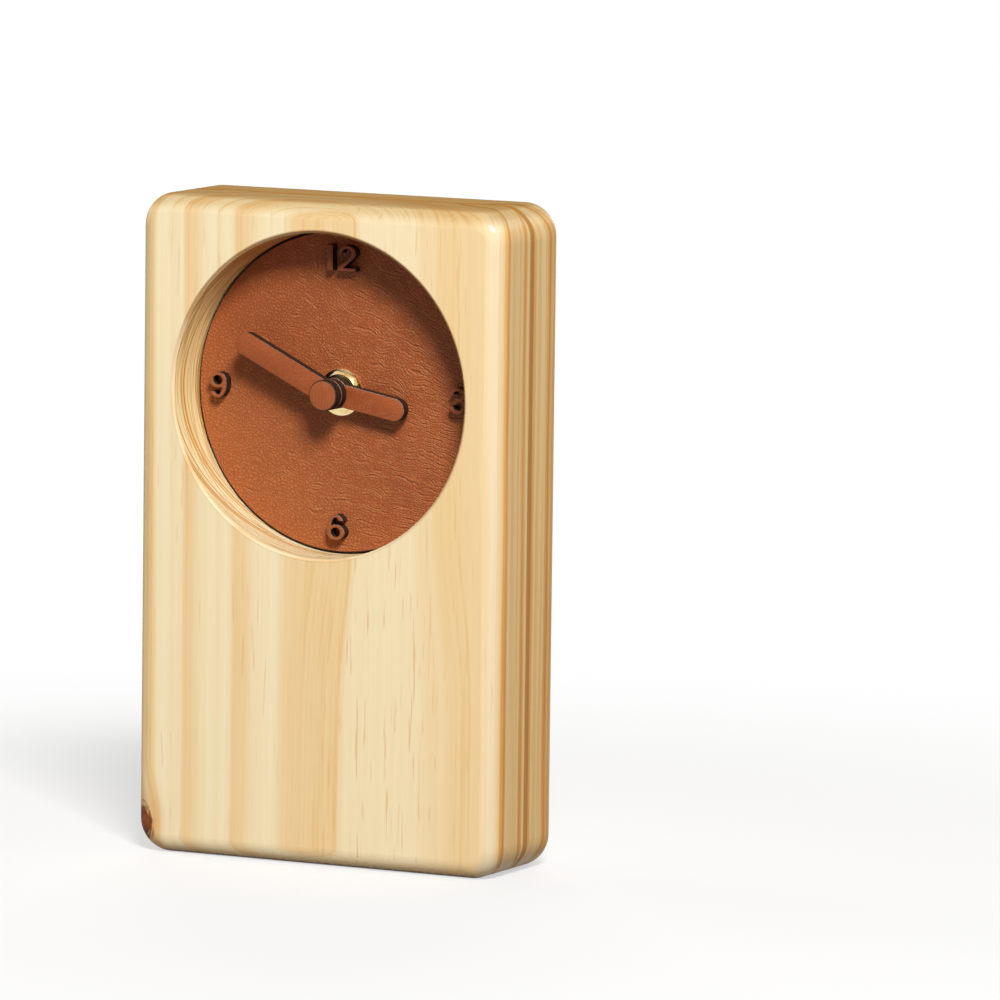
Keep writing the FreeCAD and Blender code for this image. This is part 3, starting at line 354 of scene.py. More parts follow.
def pine(name, heart_mm, face_mm, layers, windowed=False, flare=None, streaks=None, knot=None):
    """Varnished pine. Its layers lie round a heart at (x, y) and are listed as they meet the face."""
    finish = Finish(name)
    x, y, z = finish.apart(finish.place_mm())
    reach, right_side = round_heart(finish, x, y, z, heart_mm, face_mm, flare)
    if knot:
        knot_mm = knot["radius"]
        off_x, off_y, off_z = x - knot["x"], y - knot["y"], (z - knot["z"]) * 0.62
        from_knot = (off_x ** 2 + off_y ** 2 + off_z ** 2) ** 0.5
        near_knot = 1 - finish.eased(from_knot, knot_mm * 0.6, knot_mm * 2.6)
        reach = reach + near_knot * knot_mm * 0.8

    # The layers' tone, from pale early wood at 0 to dark late wood at 2.
    life = finish.noise(finish.together(x * 0.05, y * 0.05, z * 0.012), 1.0, 2.0)
    left_tone = layered(finish, heart_mm[0] - reach, layers)
    right_tone = layered(finish, heart_mm[0] + reach, layers)
    tone = (left_tone + (right_tone - left_tone) * right_side) * (0.78 + 0.44 * life)
    in_layers = finish.together(reach * 0.95, z * 0.004, right_side * 3.0)
    thin_layers = finish.noise(in_layers, 1.0, 3.0, 0.6)
    tone = tone + (thin_layers - 0.5) * 0.75

    # The flanks, the crown and the window's wall cut across the layers and show them more sharply,
    # and the cutter has left its own lines in the wall.
    flank = finish.eased(abs(x), block_half_mm - 2.4, block_half_mm - 0.2)
    crown = finish.eased(z, block_high_mm - 5.2, block_high_mm - 1.4)
    cut_across = flank * 0.30 + crown * 0.36
    late_wood = finish.eased(thin_layers, 0.50, 0.60)
    bored, by_window = 0.0, 0.0
    if windowed:
        above = z - shaft_mm
        out = (x ** 2 + above ** 2) ** 0.5
        in_window = 1 - finish.eased(out, window_mm + 0.05, window_mm + 0.3)
        by_window = 1 - finish.eased(out, window_mm + 1.4, window_mm + 2.2)
        bored = in_window * finish.eased(y - face_mm, 0.3, 0.9)
        cutter = finish.noise(finish.together(y * 1.5, x * 0.03, z * 0.03), 1.0, 2.0, 0.6)
        cutter_lines = finish.eased(cutter, 0.52, 0.62) * bored * 0.6
        late_wood = (late_wood * (cut_across + bored * 0.90)).or_higher(cutter_lines)
    else:
        late_wood = late_wood * cut_across

    # Fibres, strands of them, and the short dark ducts of resin.
    fibre = finish.noise(finish.together(x * 2.4, y * 2.4, z * 0.05), 1.0, 4.0, 0.65)
    strand = finish.noise(finish.together(x * 0.75, y * 0.75, z * 0.018), 1.0, 3.0, 0.6)
    duct = finish.noise(finish.together(x * 1.25, y * 1.25, z * 0.070), 1.0, 1.6, 0.4)
    patchy = finish.noise(finish.together(x * 0.045, y * 0.045, z * 0.012), 1.0, 1.0)
    duct_patch = finish.eased(patchy, 0.42, 0.60)
    if streaks:
        from_streaks = abs(reach + heart_mm[0] - streaks["middle"])
        streaked = 1 - finish.eased(from_streaks, streaks["half"] * 0.8, streaks["half"] * 1.2)
        duct_patch = (duct_patch * 0.6).or_higher(streaked * right_side)
    ducts = finish.eased(duct, 0.62, 0.74) * duct_patch
    tone = tone + (strand - 0.5) * 0.40 + (fibre - 0.5) * 0.22 + flank * 0.15
    wood = finish.step("ShaderNodeValToRGB", {"stops": [
        (0.0, colour("F1E1BC")), (0.5, colour("EACA96")),
        (0.75, colour("D9A663")), (1.0, colour("B37A38")),
    ]}, {0: tone / 2})
    wood = finish.blend(ducts * 0.46, wood, colour("D49A5A"))
    wood = finish.blend(flank * 0.45, wood, colour("EACB84"), "MULTIPLY")

    # The rounded edges and the top. The right rounded edge is blended to a pale grey as a painted
    # sheen, and the left one is made warmer and lighter as painted light against its shade.
    to_right, to_rear = finish.facing()[:2]
    rounded = finish.eased(to_right, 0.12, 0.45) * (1 - finish.eased(to_right, 0.75, 0.97))
    rounded = rounded * finish.eased(0 - to_rear, 0.05, 0.30) * (1 - by_window)
    # Painted sheen: the right rounded edge is blended towards a pale grey.
    wood = finish.blend(rounded * 0.40, wood, colour("CDC4B0"))
    # Painted light: the left rounded edge, turned from the lamp, is made lighter and warmer.
    painted_left_light = finish.eased(0 - to_right, 0.15, 0.80) * finish.eased(0 - to_rear, 0.05, 0.30)
    wood = finish.blend(painted_left_light * (1 - by_window) * 0.90, wood, colour("FFE2A0"))
    if windowed:
        wood = window_wall(finish, wood, above, out, bored)
    wood = finish.blend(crown, wood, colour("DAD1C0"), "MULTIPLY")
    flat_top = finish.eased(z, block_high_mm - 1.1, block_high_mm - 0.2)
    wood = finish.blend(flat_top, wood, colour("DFD2C0"), "MULTIPLY")
    wood = finish.blend(late_wood, wood, colour("BD8740"))
    wood = joint_and_foot(finish, wood, y, z, strand, fibre)
    if knot:
        knot_rings = finish.noise(finish.together(from_knot * 1.6, z * 0.3, x * 0.3), 1.0, 3.0)
        from_middle = from_knot + (knot_rings - 0.5) * knot_mm * 1.1
        in_knot = 1 - finish.eased(from_middle, knot_mm * 0.55, knot_mm)
        ringed = finish.blend(knot_rings, colour("4A2210"), colour("A85F2C"))
        wood = finish.blend(near_knot ** 2 * 0.5, wood, colour("CF8E48"))
        wood = finish.blend(in_knot, wood, ringed)
    grain_height = fibre * 0.5 + tone * 0.15 + ducts * -0.25
    return finish.cover({
        "Base Color": wood,
        "Roughness": 0.40 + 0.12 * fibre,
        "IOR": 1.45,
        "Specular IOR Level": 0.0,
        "Coat Weight": (0.22 + 0.24 * rounded) * (1 - crown) * (1 - bored * 0.7),
        "Coat Roughness": 0.13,
        "Normal": finish.bump(grain_height, 0.05),
    })


def give(finish, *node_names):
    """Give a finish to nodes whose own shape is shown."""
    for node_name in node_names:
        nodes[node_name].material_slots[0].material = finish


front_pine = pine(
    "front_pine", heart_mm=(-2.0, -78.0), face_mm=-18.0,
    layers=[
        (-76, 0.3), (-70.5, 1.2), (-69.8, 0.2), (-61.5, 1.3), (-60.8, 0.2), (-53.6, 0.3), (-53.0, 1.1),
        (-50.3, 1.1), (-48.6, 0.15), (-46, 0.0), (-44, 0.3), (-41.3, 0.1), (-40.6, 0.95), (-38, 0.85),
        (-35.5, 0.3), (-32, 0.0), (-30, 0.3), (-28, 0.0), (-25.9, 0.3), (-25.2, 1.15), (-22.4, 0.9),
        (-19, 0.3), (-14, 0.0), (-11.6, 0.15), (-9.5, 0.85), (-7, 1.0), (5.6, 0.9), (7.0, 1.15),
        (7.7, 0.6), (9.3, 0.25), (20, 0.15), (31, 0.2), (34, 0.5), (39, 0.6), (42, 0.85), (45, 1.0),
        (50, 0.8), (55.5, 0.5), (57.5, 0.9), (60.2, 1.5), (61.2, 0.4), (63, 0.3), (64.6, 0.8),
        (66.6, 0.3), (68.0, 0.7), (69.4, 1.5), (70.6, 1.2), (71.6, 0.3), (72.6, 1.0), (76, 0.8),
    ],
    windowed=True,
    flare={"x": 21.0, "half": 14.0, "low": 42.0, "high": 98.0, "share": 0.34},
    streaks={"middle": 20.5, "half": 13.0},
    knot={"x": -52.6, "y": -17.6, "z": 7.8, "radius": 4.2},
)
back_pine = pine(
    "back_pine", heart_mm=(-12.0, 96.0), face_mm=18.0,
    layers=[
        (-84, 0.2), (-76.5, 1.3), (-75.6, 0.1), (-68, 1.4), (-67.2, 0.2), (-58.5, 1.1), (-57.8, 0.2),
        (-50, 0.9), (-42.5, 1.2), (-41.8, 0.1), (-33, 1.1), (-32.3, 0.1), (-24, 0.3), (-16.4, 1.1),
        (-15.2, 0.8), (-4, 0.95), (4.6, 1.2), (5.3, 0.2), (14, 0.2), (21, 1.0), (22, 0.15), (33, 0.9),
        (34, 0.1), (43.5, 1.2), (44.3, 0.2), (52, 1.1), (53, 0.3), (59, 0.5), (60.6, 1.5),
        (61.6, 1.0), (63.0, 1.6), (64.2, 1.1), (65.5, 0.8), (66.6, 0.35), (68.6, 0.35), (69.6, 0.9),
        (70.8, 0.8), (71.8, 0.25), (72.9, 1.2), (76, 1.3),
    ],
)
give(front_pine, "front_board")
give(back_pine, "back_board")


# ---- Dial ----
# A disc of three-layer ply covered with brown leather, pressed into the window against the back
# board. The leather has a fine pebbled grain, soft folds and thin slanting creases.
dial_front_mm = -4.0
dial_crease_mm = 1.6
dial_slant_deg = -20.0
hide_seed = 3.0


def creases(recipe, place_mm, spacing_mm, slant_deg, seed, more_worn=0.0):
    """How deep the creases of a hide are and how high the ridges beside them, each from 0 to 1."""
    x, y, z = recipe.apart(place_mm)
    turned = recipe.step("ShaderNodeVectorRotate", {"rotation_type": "Y_AXIS"}, {
        "Vector": place_mm, "Center": (0.0, 0.0, shaft_mm),
        "Angle": (slant_deg - (z - shaft_mm) * 0.28) * (math.pi / 180),
    })
    along, through, across = recipe.apart(turned)
    wander = recipe.step("ShaderNodeTexNoise", {"noise_dimensions": "4D"}, {
        "Vector": place_mm, "W": seed, "Scale": 0.13, "Detail": 2.4, "Roughness": 0.5,
    })
    phase = across / spacing_mm + wander * 4.2
    wave = phase.worked("PINGPONG", phase, 0.5) * 2
    worn = recipe.step("ShaderNodeTexNoise", {"noise_dimensions": "4D"}, {
        "Vector": recipe.together(along * 0.22, 0.0, across * 0.42),
        "W": seed, "Scale": 1.0, "Detail": 1.5,
    })
    present = recipe.eased(worn + x * 0.0030 + more_worn, 0.46, 0.66)
    ridge = recipe.eased(wave, 0.20, 0.45) * (1 - recipe.eased(wave, 0.45, 0.95))
    return (1 - recipe.eased(wave, 0.0, 0.36)) * present, ridge * present


def leather(name, face, deep, bright, pebble_mm, crease_mm, slant_deg, creasing, relief_mm,
            cut_from_mm=None, rim_mm=None, more_worn=0.0):
    """Pebbled and creased hide, with painted shade in its hollows and creases, painted highlight on
    the ridges and painted light to the lower left. Where a laser cut it, it is pale, partly as a
    painted highlight, and then charred behind its face.
    """
    finish = Finish(name)
    place = finish.place_mm()
    x, y, z = finish.apart(place)
    above = z - shaft_mm
    swirl = finish.step("ShaderNodeTexNoise", None, {
        "Vector": place, "Scale": 0.16, "Detail": 1.0,
    }, out=1)
    warped = finish.vector("ADD", {0: place, 1: finish.vector("SCALE", {0: swirl, "Scale": 1.5})})
    cells = finish.step("ShaderNodeTexVoronoi", {"feature": "DISTANCE_TO_EDGE"}, {
        "Vector": warped, "Scale": 1 / pebble_mm, "Randomness": 1.0,
    })
    pebbles = finish.eased(cells, 0.0, 0.28)
    crease, ridge = creases(finish, place, crease_mm, slant_deg, hide_seed, more_worn)
    pores = finish.noise(place, 3.2, 2.0)
    mottle = finish.noise(place, 0.10, 3.0)
    tone = finish.blend(finish.eased(mottle, 0.30, 0.72) * 0.22, face, deep)
    # Painted light: the hide is lightened and warmed towards the lower left.
    tone = finish.blend(finish.eased(0 - x - above, 8.0, 48.0) * 0.40, tone, colour("BE7340"))
    # Painted shade in the hollows between pebbles and in the creases, and painted highlight on the
    # ridges beside the creases.
    tone = finish.blend((1 - pebbles) * 0.36, tone, deep)
    tone = finish.blend(crease * creasing * 0.42, tone, deep)
    tone = finish.blend(ridge * creasing * 0.50, tone, bright)
    tone = finish.blend(finish.eased(pores, 0.60, 0.80) * 0.25, tone, bright)
    if cut_from_mm is not None:
        speckle = finish.eased(finish.noise(place, 4.0, 2.0), 0.42, 0.60)
        edge = 1 - finish.eased(0 - finish.facing()[1], 0.75, 0.98)
        tone = finish.blend(edge * 0.70, tone, colour("4A2A1A"))
        # A pale band just behind the face: partly the pale cut leather, partly a painted highlight
        # along the edge.
        pale_cut_and_highlight = finish.eased(y, cut_from_mm + 0.08, cut_from_mm + 0.16)
        cut = finish.eased(y, cut_from_mm + 0.36, cut_from_mm + 0.46)
        tone = finish.blend(pale_cut_and_highlight * (0.20 + 0.70 * speckle), tone, colour("B5A093"))
        tone = finish.blend(cut, tone, finish.blend(speckle, colour("2A1A13"), colour("4A342A")))
    if rim_mm is not None:
        # A thin dark ring at the rim: partly the charred cut edge, partly painted shade in the gap
        # beside it.
        out = (x ** 2 + above ** 2) ** 0.5
        tone = finish.blend(finish.eased(out, rim_mm - 0.12, rim_mm + 0.1), tone, colour("24130B"))
    height = pebbles * 0.52 + pores * 0.12 + ridge * creasing * 0.20 - crease * creasing * 0.42
    return finish.cover({
        "Base Color": tone,
        "Roughness": 0.44 + 0.12 * (1 - pebbles) + 0.06 * pores,
        "IOR": 1.46,
        "Specular IOR Level": 0.34,
        "Normal": finish.bump(height, relief_mm),
    })


dial_leather = leather(
    "dial_leather", colour("A6592E"), colour("6C3216"), colour("C6804E"),
    pebble_mm=0.95, crease_mm=dial_crease_mm, slant_deg=dial_slant_deg, creasing=1.0,
    relief_mm=0.18, rim_mm=43.25,
)


def hoops(count, turns, closed):
    """The faces between rings of points, and from the last ring to the first if closed."""
    faces = []
    for ring in range(count if closed else count - 1):
        here, after = ring * turns, (ring + 1) % count * turns
        for turn in range(turns):
            beside = (turn + 1) % turns
            faces.append((here + turn, after + turn, after + beside, here + beside))
    return faces


def ring_plate(name, inner_mm, outer_mm, front_mm, back_mm, lip_mm, rings, turns):
    """A flat ring round the hands' axis with a fine, even mesh on its front and an eased rim."""
    section = [(inner_mm, back_mm)]
    lip_from = outer_mm - lip_mm
    for step in range(rings + 1):
        section.append((inner_mm + (lip_from - inner_mm) * step / rings, front_mm))
    for step in range(1, 5):
        turn = math.pi / 2 * step / 4
        section.append((lip_from + lip_mm * math.sin(turn), front_mm + lip_mm * (1 - math.cos(turn))))
    section.append((outer_mm, back_mm))
    points = []
    for out, y in section:
        for turn in range(turns):
            angle = 2 * math.pi * turn / turns
            x, z = out * math.sin(angle), shaft_mm + out * math.cos(angle)
            points.append((x / 1000, y / 1000, z / 1000))
    mesh = bpy.data.meshes.new(name)
    mesh.from_pydata(points, [], hoops(len(section), turns, closed=True))
    return linked(name, mesh)


def faced_out(mesh):
    """Turn the faces of a closed mesh outwards."""
    shape = bmesh.new()
    shape.from_mesh(mesh)
    bmesh.ops.recalc_face_normals(shape, faces=shape.faces)
    shape.to_mesh(mesh)
    shape.free()


def baked(piece, tree, inputs, finish):
    """The piece with the plain mesh that a shaping tree makes of it."""
    shaper = piece.modifiers.new("shaping", "NODES")
    shaper.node_group = tree
    for socket in tree.interface.items_tree:
        if socket.item_type == "SOCKET" and socket.name in inputs:
            shaper[socket.identifier] = inputs[socket.name]
    seen_piece = piece.evaluated_get(bpy.context.evaluated_depsgraph_get())
    mesh = bpy.data.meshes.new_from_object(seen_piece)
    piece.modifiers.remove(shaper)
    faced_out(mesh)
    mesh.name = piece.name
    mesh.materials.clear()
    mesh.materials.append(finish)
    mesh.shade_smooth()
    piece.data = mesh
    return piece


class Shaping(Recipe):
    """A tree of geometry nodes with named inputs."""

    def __init__(self, name, inputs):
        tree = bpy.data.node_groups.new(name, "GeometryNodeTree")
        super().__init__(tree)
        tree.interface.new_socket("Geometry", in_out="INPUT", socket_type="NodeSocketGeometry")
        tree.interface.new_socket("Geometry", in_out="OUTPUT", socket_type="NodeSocketGeometry")
        for label, kind in inputs.items():
            tree.interface.new_socket(label, in_out="INPUT", socket_type=kind)
        self.entry = tree.nodes.new("NodeGroupInput")

    def given(self, label):
        return Amount(self, self.entry.outputs[label])

    def circle(self, corners, radius):
        values = {"Resolution": corners, "Radius": radius}
        return self.step("GeometryNodeCurvePrimitiveCircle", None, values)

    def ended(self, shape, finish):
        real = self.step("GeometryNodeRealizeInstances", None, {0: shape})
        covered = self.step("GeometryNodeSetMaterial", None, {"Geometry": real, "Material": finish})
        self.step("NodeGroupOutput", None, {"Geometry": covered})
        return self.tree


# The creases are pressed into the hide's own surface as well as drawn in its finish.
hide = Shaping("hide_creases", {
    "Depth": "NodeSocketFloat", "Spacing": "NodeSocketFloat", "Slant": "NodeSocketFloat",
    "Front": "NodeSocketFloat", "Seed": "NodeSocketFloat",
})
hide_place = hide.vector("SCALE", {0: hide.step("GeometryNodeInputPosition"), "Scale": 1000})
hide_crease = creases(
    hide, hide_place, hide.given("Spacing"), hide.given("Slant"), hide.given("Seed"))[0]
hide_y = hide.apart(hide_place)[1]
on_front = hide_y.worked("LESS_THAN", hide_y, hide.given("Front") + 0.02)
sunk = hide_crease * hide.given("Depth") * on_front
hide_tree = hide.ended(hide.step("GeometryNodeSetPosition", None, {
    "Geometry": hide.given("Geometry"), "Offset": hide.together(0.0, sunk / 1000, 0.0),
}), dial_leather)
dial_sheet = ring_plate(
    "dial_cover", inner_mm=4.1, outer_mm=43.6, front_mm=dial_front_mm, back_mm=-3.0, lip_mm=0.25,
    rings=124, turns=680,
)
dial_cover = baked(dial_sheet, hide_tree, {
    "Depth": 0.045, "Spacing": dial_crease_mm, "Slant": dial_slant_deg, "Front": dial_front_mm,
    "Seed": hide_seed,
}, dial_leather)
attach(dial_cover, "root")
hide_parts("dial_leather")


def burnt_ply(name, front_mm, sheet_mm):
    """Ply cut by laser: the walls are charred and the glue lines show as darker stripes."""
    finish = Finish(name)
    x, y, z = finish.apart(finish.place_mm())
    depth = (y - front_mm) / sheet_mm
    stripe = finish.step("ShaderNodeValToRGB", {"stops": [
        (0.0, (0.3, 0.3, 0.3, 1)), (0.30, (0.55, 0.55, 0.55, 1)), (0.335, (0.05, 0.05, 0.05, 1)),
        (0.37, (0.75, 0.75, 0.75, 1)), (0.63, (0.65, 0.65, 0.65, 1)), (0.665, (0.05, 0.05, 0.05, 1)),
        (0.70, (0.5, 0.5, 0.5, 1)), (1.0, (0.3, 0.3, 0.3, 1)),
    ]}, {0: depth})
    soot = finish.noise(finish.together(x * 1.2, y * 0.6, z * 1.2), 1.0, 3.0)
    char = finish.blend(stripe * (0.35 + 0.65 * soot), colour("1D120C"), colour("4A2F20"))
    return finish.cover({
        "Base Color": char,
        "Roughness": 0.72 + 0.15 * soot,
        "Specular IOR Level": 0.12,
        "Normal": finish.bump(soot * 0.6 + stripe * 0.4, 0.06),
    })


give(burnt_ply("dial_ply", front_mm=-3.0, sheet_mm=3.0), "dial_base")


# ---- Numerals ----
# 12, 3, 6 and 9, cut by laser from thin ply that is faced with the same leather, and glued to
# the dial. Their walls are charred and their faces darker than the dial.
sheet_ply_mm = 2.4
skin_mm = 0.6
numeral_front_mm = -7.0
numeral_ply = burnt_ply("numeral_ply", numeral_front_mm + skin_mm, sheet_ply_mm)
numeral_leather = leather(
    "numeral_leather", colour("944A26"), colour("5A2A14"), colour("B06C40"),
    pebble_mm=0.7, crease_mm=2.4, slant_deg=20, creasing=0.2, relief_mm=0.03,
    cut_from_mm=numeral_front_mm,
)


def eased_copy(node_name, piece_name, finish, edge_mm):
    """A copy of a node with its sharp edges rounded over, which then stands for it."""
    shape = bmesh.new()
    shape.from_mesh(nodes[node_name].data)
    bmesh.ops.remove_doubles(shape, verts=shape.verts, dist=1e-6)
    bmesh.ops.dissolve_limit(shape, angle_limit=math.radians(1), verts=shape.verts, edges=shape.edges)
    sharp = [edge for edge in shape.edges
             if len(edge.link_faces) == 2 and edge.calc_face_angle() > math.radians(40)]
    bmesh.ops.bevel(shape, geom=sharp, offset=edge_mm / 1000, segments=2, profile=0.5,
                    affect="EDGES", clamp_overlap=True)
    bmesh.ops.triangulate(shape, faces=[face for face in shape.faces if len(face.verts) > 4])
    mesh = bpy.data.meshes.new(piece_name)
    shape.to_mesh(mesh)
    shape.free()
    mesh.materials.append(finish)
    mesh.shade_smooth()
    mesh.set_sharp_from_angle(angle=math.radians(35))
    return linked(piece_name, mesh)


for figure in ("12", "3", "6", "9"):
    numeral = "numeral_%s" % figure
    give(numeral_ply, numeral + "_base")
    face = eased_copy(numeral + "_leather", numeral + "_face", numeral_leather, edge_mm=0.16)
    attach(face, "root")
    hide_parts(numeral + "_leather")


# ---- Hands and hub cap ----
# Cut like the numerals from leather-faced ply. Each hand is pressed on a small brass bush, and a
# plain disc covers the end of the minute arbor.
cap_radius_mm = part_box("hub_cap_leather")[1][0] * 1000
hand_creases = {"crease_mm": 2.6, "slant_deg": 30, "creasing": 0.40}
cap_creases = {
    "crease_mm": 1.0, "slant_deg": 80, "creasing": 0.75, "more_worn": 0.12,
    "rim_mm": cap_radius_mm - 0.30,
}
for part, body, front_mm, own_creases in (
    ("hour_hand", "hour", -8.9, hand_creases),
    ("minute_hand", "minute", -12.2, hand_creases),
    ("hub_cap", "minute", -15.2, cap_creases),
):
    give(burnt_ply(part + "_ply", front_mm + skin_mm, sheet_ply_mm), part + "_base")
    skin = leather(
        part + "_leather", colour("A35429"), colour("753618"), colour("BC7648"),
        pebble_mm=0.6, relief_mm=0.07, cut_from_mm=front_mm, **own_creases,
    )
    face = eased_copy(part + "_leather", part + "_face", skin, edge_mm=0.30)
    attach(face, body)
    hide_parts(part + "_leather")


# ---- Washer, nut and bushes ----
# Bright brass-plated washer and thin hexagon nut that hold the movement to the dial, the threaded
# bush that they sit on, and the turned bushes of the hands.
def plated_brass(name, rough, turned_mm, relief_mm):
    """Brass with fine lines left by the lathe round the hands' axis, and a little tarnish."""
    finish = Finish(name)
    place = finish.place_mm()
    x, y, z = finish.apart(place)
    out = (x ** 2 + (z - shaft_mm) ** 2) ** 0.5
    lathe = finish.noise(finish.together(out * turned_mm, y * 3.0, 0.0), 1.0, 3.0, 0.7)
    tarnish = finish.noise(place, 0.45, 3.0)
    metal = finish.blend(finish.eased(tarnish, 0.45, 0.75) * 0.5, colour("F1D9A4"), colour("CFA763"))
    return finish.cover({
        "Base Color": metal,
        "Metallic": 1.0,
        "Roughness": rough + 0.10 * lathe,
        "Normal": finish.bump(lathe, relief_mm),
    })


give(plated_brass("bright_brass", rough=0.14, turned_mm=9.0, relief_mm=0.010), "washer", "hex_nut")
give(plated_brass("cut_brass", rough=0.24, turned_mm=6.0, relief_mm=0.020),
     "threaded_bush", "hour_hand_bush", "minute_hand_bush")


# ---- Movement case ----
# The clock's quartz movement: a front case and a rear cover moulded in black plastic with a fine
# spark-eroded skin, in the pocket of the back board.
def moulded(name, body, light, rough, grain_mm, relief_mm):
    """Moulded plastic or resin, a little uneven in tone, with the skin that its mould gives it."""
    finish = Finish(name)
    place = finish.place_mm()
    skin = finish.noise(place, 1 / grain_mm, 3.0, 0.6)
    flow = finish.noise(place, 0.06, 2.0)
    tone = finish.blend(finish.eased(flow, 0.3, 0.7), body, light)
    return finish.cover({
        "Base Color": tone,
        "Roughness": rough + 0.12 * skin,
        "IOR": 1.5,
        "Normal": finish.bump(skin, relief_mm),
    })


case_black = moulded("case_black", colour("2A2A2C"), colour("333335"), 0.42, 0.25, 0.03)
knob_black = moulded("knob_black", colour("3A3A3C"), colour("444446"), 0.34, 0.35, 0.02)
give(case_black, "front_case", "rear_cover")
give(knob_black, "setting_stem", "setting_knob")


# Signs raised in the rear cover's plastic: plus and minus by the ends of the battery bay, and two
# bent arrows by the setting knob, one for each way that it may be turned.
def raised_signs(name, outlines_mm, back_mm, sunk_mm, height_mm, finish):
    """Flat outlines, each given as (x, z) points, standing out of a wall that faces back."""
    levels = ((back_mm - sunk_mm, 0.0), (back_mm + height_mm * 0.7, 0.0), (back_mm + height_mm, 0.06))
    shape = bmesh.new()
    for outline in outlines_mm:
        count = len(outline)
        middle = sum((Vector(point) for point in outline), Vector((0, 0))) / count
        rows = []
        for y, inset in levels:
            row = []
            for point in outline:
                x, z = Vector(point) + (middle - Vector(point)).normalized() * inset
                row.append(shape.verts.new((x / 1000, y / 1000, z / 1000)))
            rows.append(row)
        for lower, upper in zip(rows, rows[1:]):
            for here in range(count):
                after = (here + 1) % count
                shape.faces.new((lower[here], lower[after], upper[after], upper[here]))
        shape.faces.new(rows[0])
        shape.faces.new(rows[-1])
    bmesh.ops.recalc_face_normals(shape, faces=shape.faces)
    bmesh.ops.triangulate(shape, faces=[face for face in shape.faces if len(face.verts) > 4])
    mesh = bpy.data.meshes.new(name)
    shape.to_mesh(mesh)
    shape.free()
    mesh.materials.append(finish)
    return linked(name, mesh)


def plus(x, z, reach, half):
    """The outline of a plus sign."""
    points = []
    for cos, sin in ((1, 0), (0, -1), (-1, 0), (0, 1)):
        for px, pz in ((half, reach), (half, half), (reach, half)):
            points.append((x + px * cos - pz * sin, z + px * sin + pz * cos))
    return points


def minus(x, z, reach, half):
    """The outline of a minus sign."""
    corners = ((-reach, -half), (reach, -half), (reach, half), (-reach, half))
    return [(x + px, z + pz) for px, pz in corners]


def round_arrow(x, z, radius, half, start_deg, end_deg, head_deg):
    """The outline of an arrow bent round a centre, its head at the end."""
    steps = [start_deg + (end_deg - start_deg) * i / 14 for i in range(15)]
    tip = end_deg + head_deg * (1 if end_deg > start_deg else -1)

    def spot(angle, out):
        turn = math.radians(angle)
        return x + out * math.cos(turn), z + out * math.sin(turn)

    outer = [spot(angle, radius + half) for angle in steps]
    inner = [spot(angle, radius - half) for angle in reversed(steps)]
    head = [spot(end_deg, radius + half * 3), spot(tip, radius), spot(end_deg, radius - half * 3)]
    return outer + head + inner


cover_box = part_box("rear_cover")
knob_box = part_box("setting_knob")
cell_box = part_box("battery_cell")
knob_x, knob_z = [(knob_box[0][axis] + knob_box[1][axis]) * 500 for axis in (0, 2)]
cover_back_mm = cover_box[1][1] * 1000
above_bay = cell_box[1][2] * 1000 + 4.2
sign_black = moulded("sign_black", colour("47474A"), colour("505053"), 0.24, 0.5, 0.01)
signs = raised_signs("case_signs", [
    plus(21.5, above_bay, 1.5, 0.3),
    minus(-21.5, above_bay, 1.5, 0.3),
    round_arrow(knob_x, knob_z, 9.0, 0.25, 60.0, 100.0, 8.0),
    round_arrow(knob_x, knob_z, 9.0, 0.25, 40.0, 0.0, 8.0),
], back_mm=cover_back_mm, sunk_mm=0.05, height_mm=0.35, finish=sign_black)
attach(signs, "root")

# The rings that the mould's ejector pins leave on the cover.
pins = Shaping("pin_rings", {"Radius": "NodeSocketFloat", "Bead": "NodeSocketFloat"})
pin_ring = pins.step("GeometryNodeCurveToMesh", None, {
    "Curve": pins.circle(40, pins.given("Radius")),
    "Profile Curve": pins.circle(8, pins.given("Bead")),
})
pin_tree = pins.ended(pins.step("GeometryNodeInstanceOnPoints", None, {
    "Points": pins.given("Geometry"), "Instance": pin_ring, "Rotation": (math.radians(90), 0.0, 0.0),
}), case_black)
pin_places_mm = ((23.5, 150.5), (-23.5, 150.5), (0.0, 150.5), (23.5, 132.0))
pin_spots = bpy.data.meshes.new("pin_spots")
pin_spots.from_pydata([(x / 1000, cover_box[1][1], z / 1000) for x, z in pin_places_mm], [], [])
pin_rings = baked(linked("pin_rings", pin_spots), pin_tree, {
    "Radius": 0.0016, "Bead": 0.00009,
}, case_black)
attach(pin_rings, "root")


# ---- Wheels and plates ----
# Motion work, going train, gear plate, bridge and bobbin, each moulded in one piece in natural
# white acetal. The wheels run dry, in holes of the plate and the bridge.
give(
    moulded("white_acetal", colour("E9E6DC"), colour("DCD8CB"), 0.34, 0.5, 0.01),
    "gear_plate", "bridge", "coil_bobbin", "hour_wheel", "motion_wheel", "minute_arbor",
    "centre_wheel", "third_wheel", "second_wheel", "fifth_wheel", "rotor_arbor",
)


# ---- Motor and circuit ----
# Stator and core of soft iron sheet, a sintered magnet, a winding of varnished copper wire, and
# the board with its chip and crystal. The two battery contacts are nickelled spring strip.
def sheet_metal(name, bright, dull, rough, brushed):
    """Metal with a fine brushing, which is drawn out along the axis with the lowest number."""
    finish = Finish(name)
    place = finish.place_mm()
    x, y, z = finish.apart(place)
    stretched = finish.together(x * brushed[0], y * brushed[1], z * brushed[2])
    brushing = finish.noise(stretched, 1.0, 3.0, 0.7)
    cloud = finish.noise(place, 0.3, 2.0)
    tone = finish.blend(finish.eased(cloud, 0.35, 0.7), bright, dull)
    return finish.cover({
        "Base Color": tone,
        "Metallic": 1.0,
        "Roughness": rough + 0.14 * brushing,
        "Normal": finish.bump(brushing, 0.008),
    })


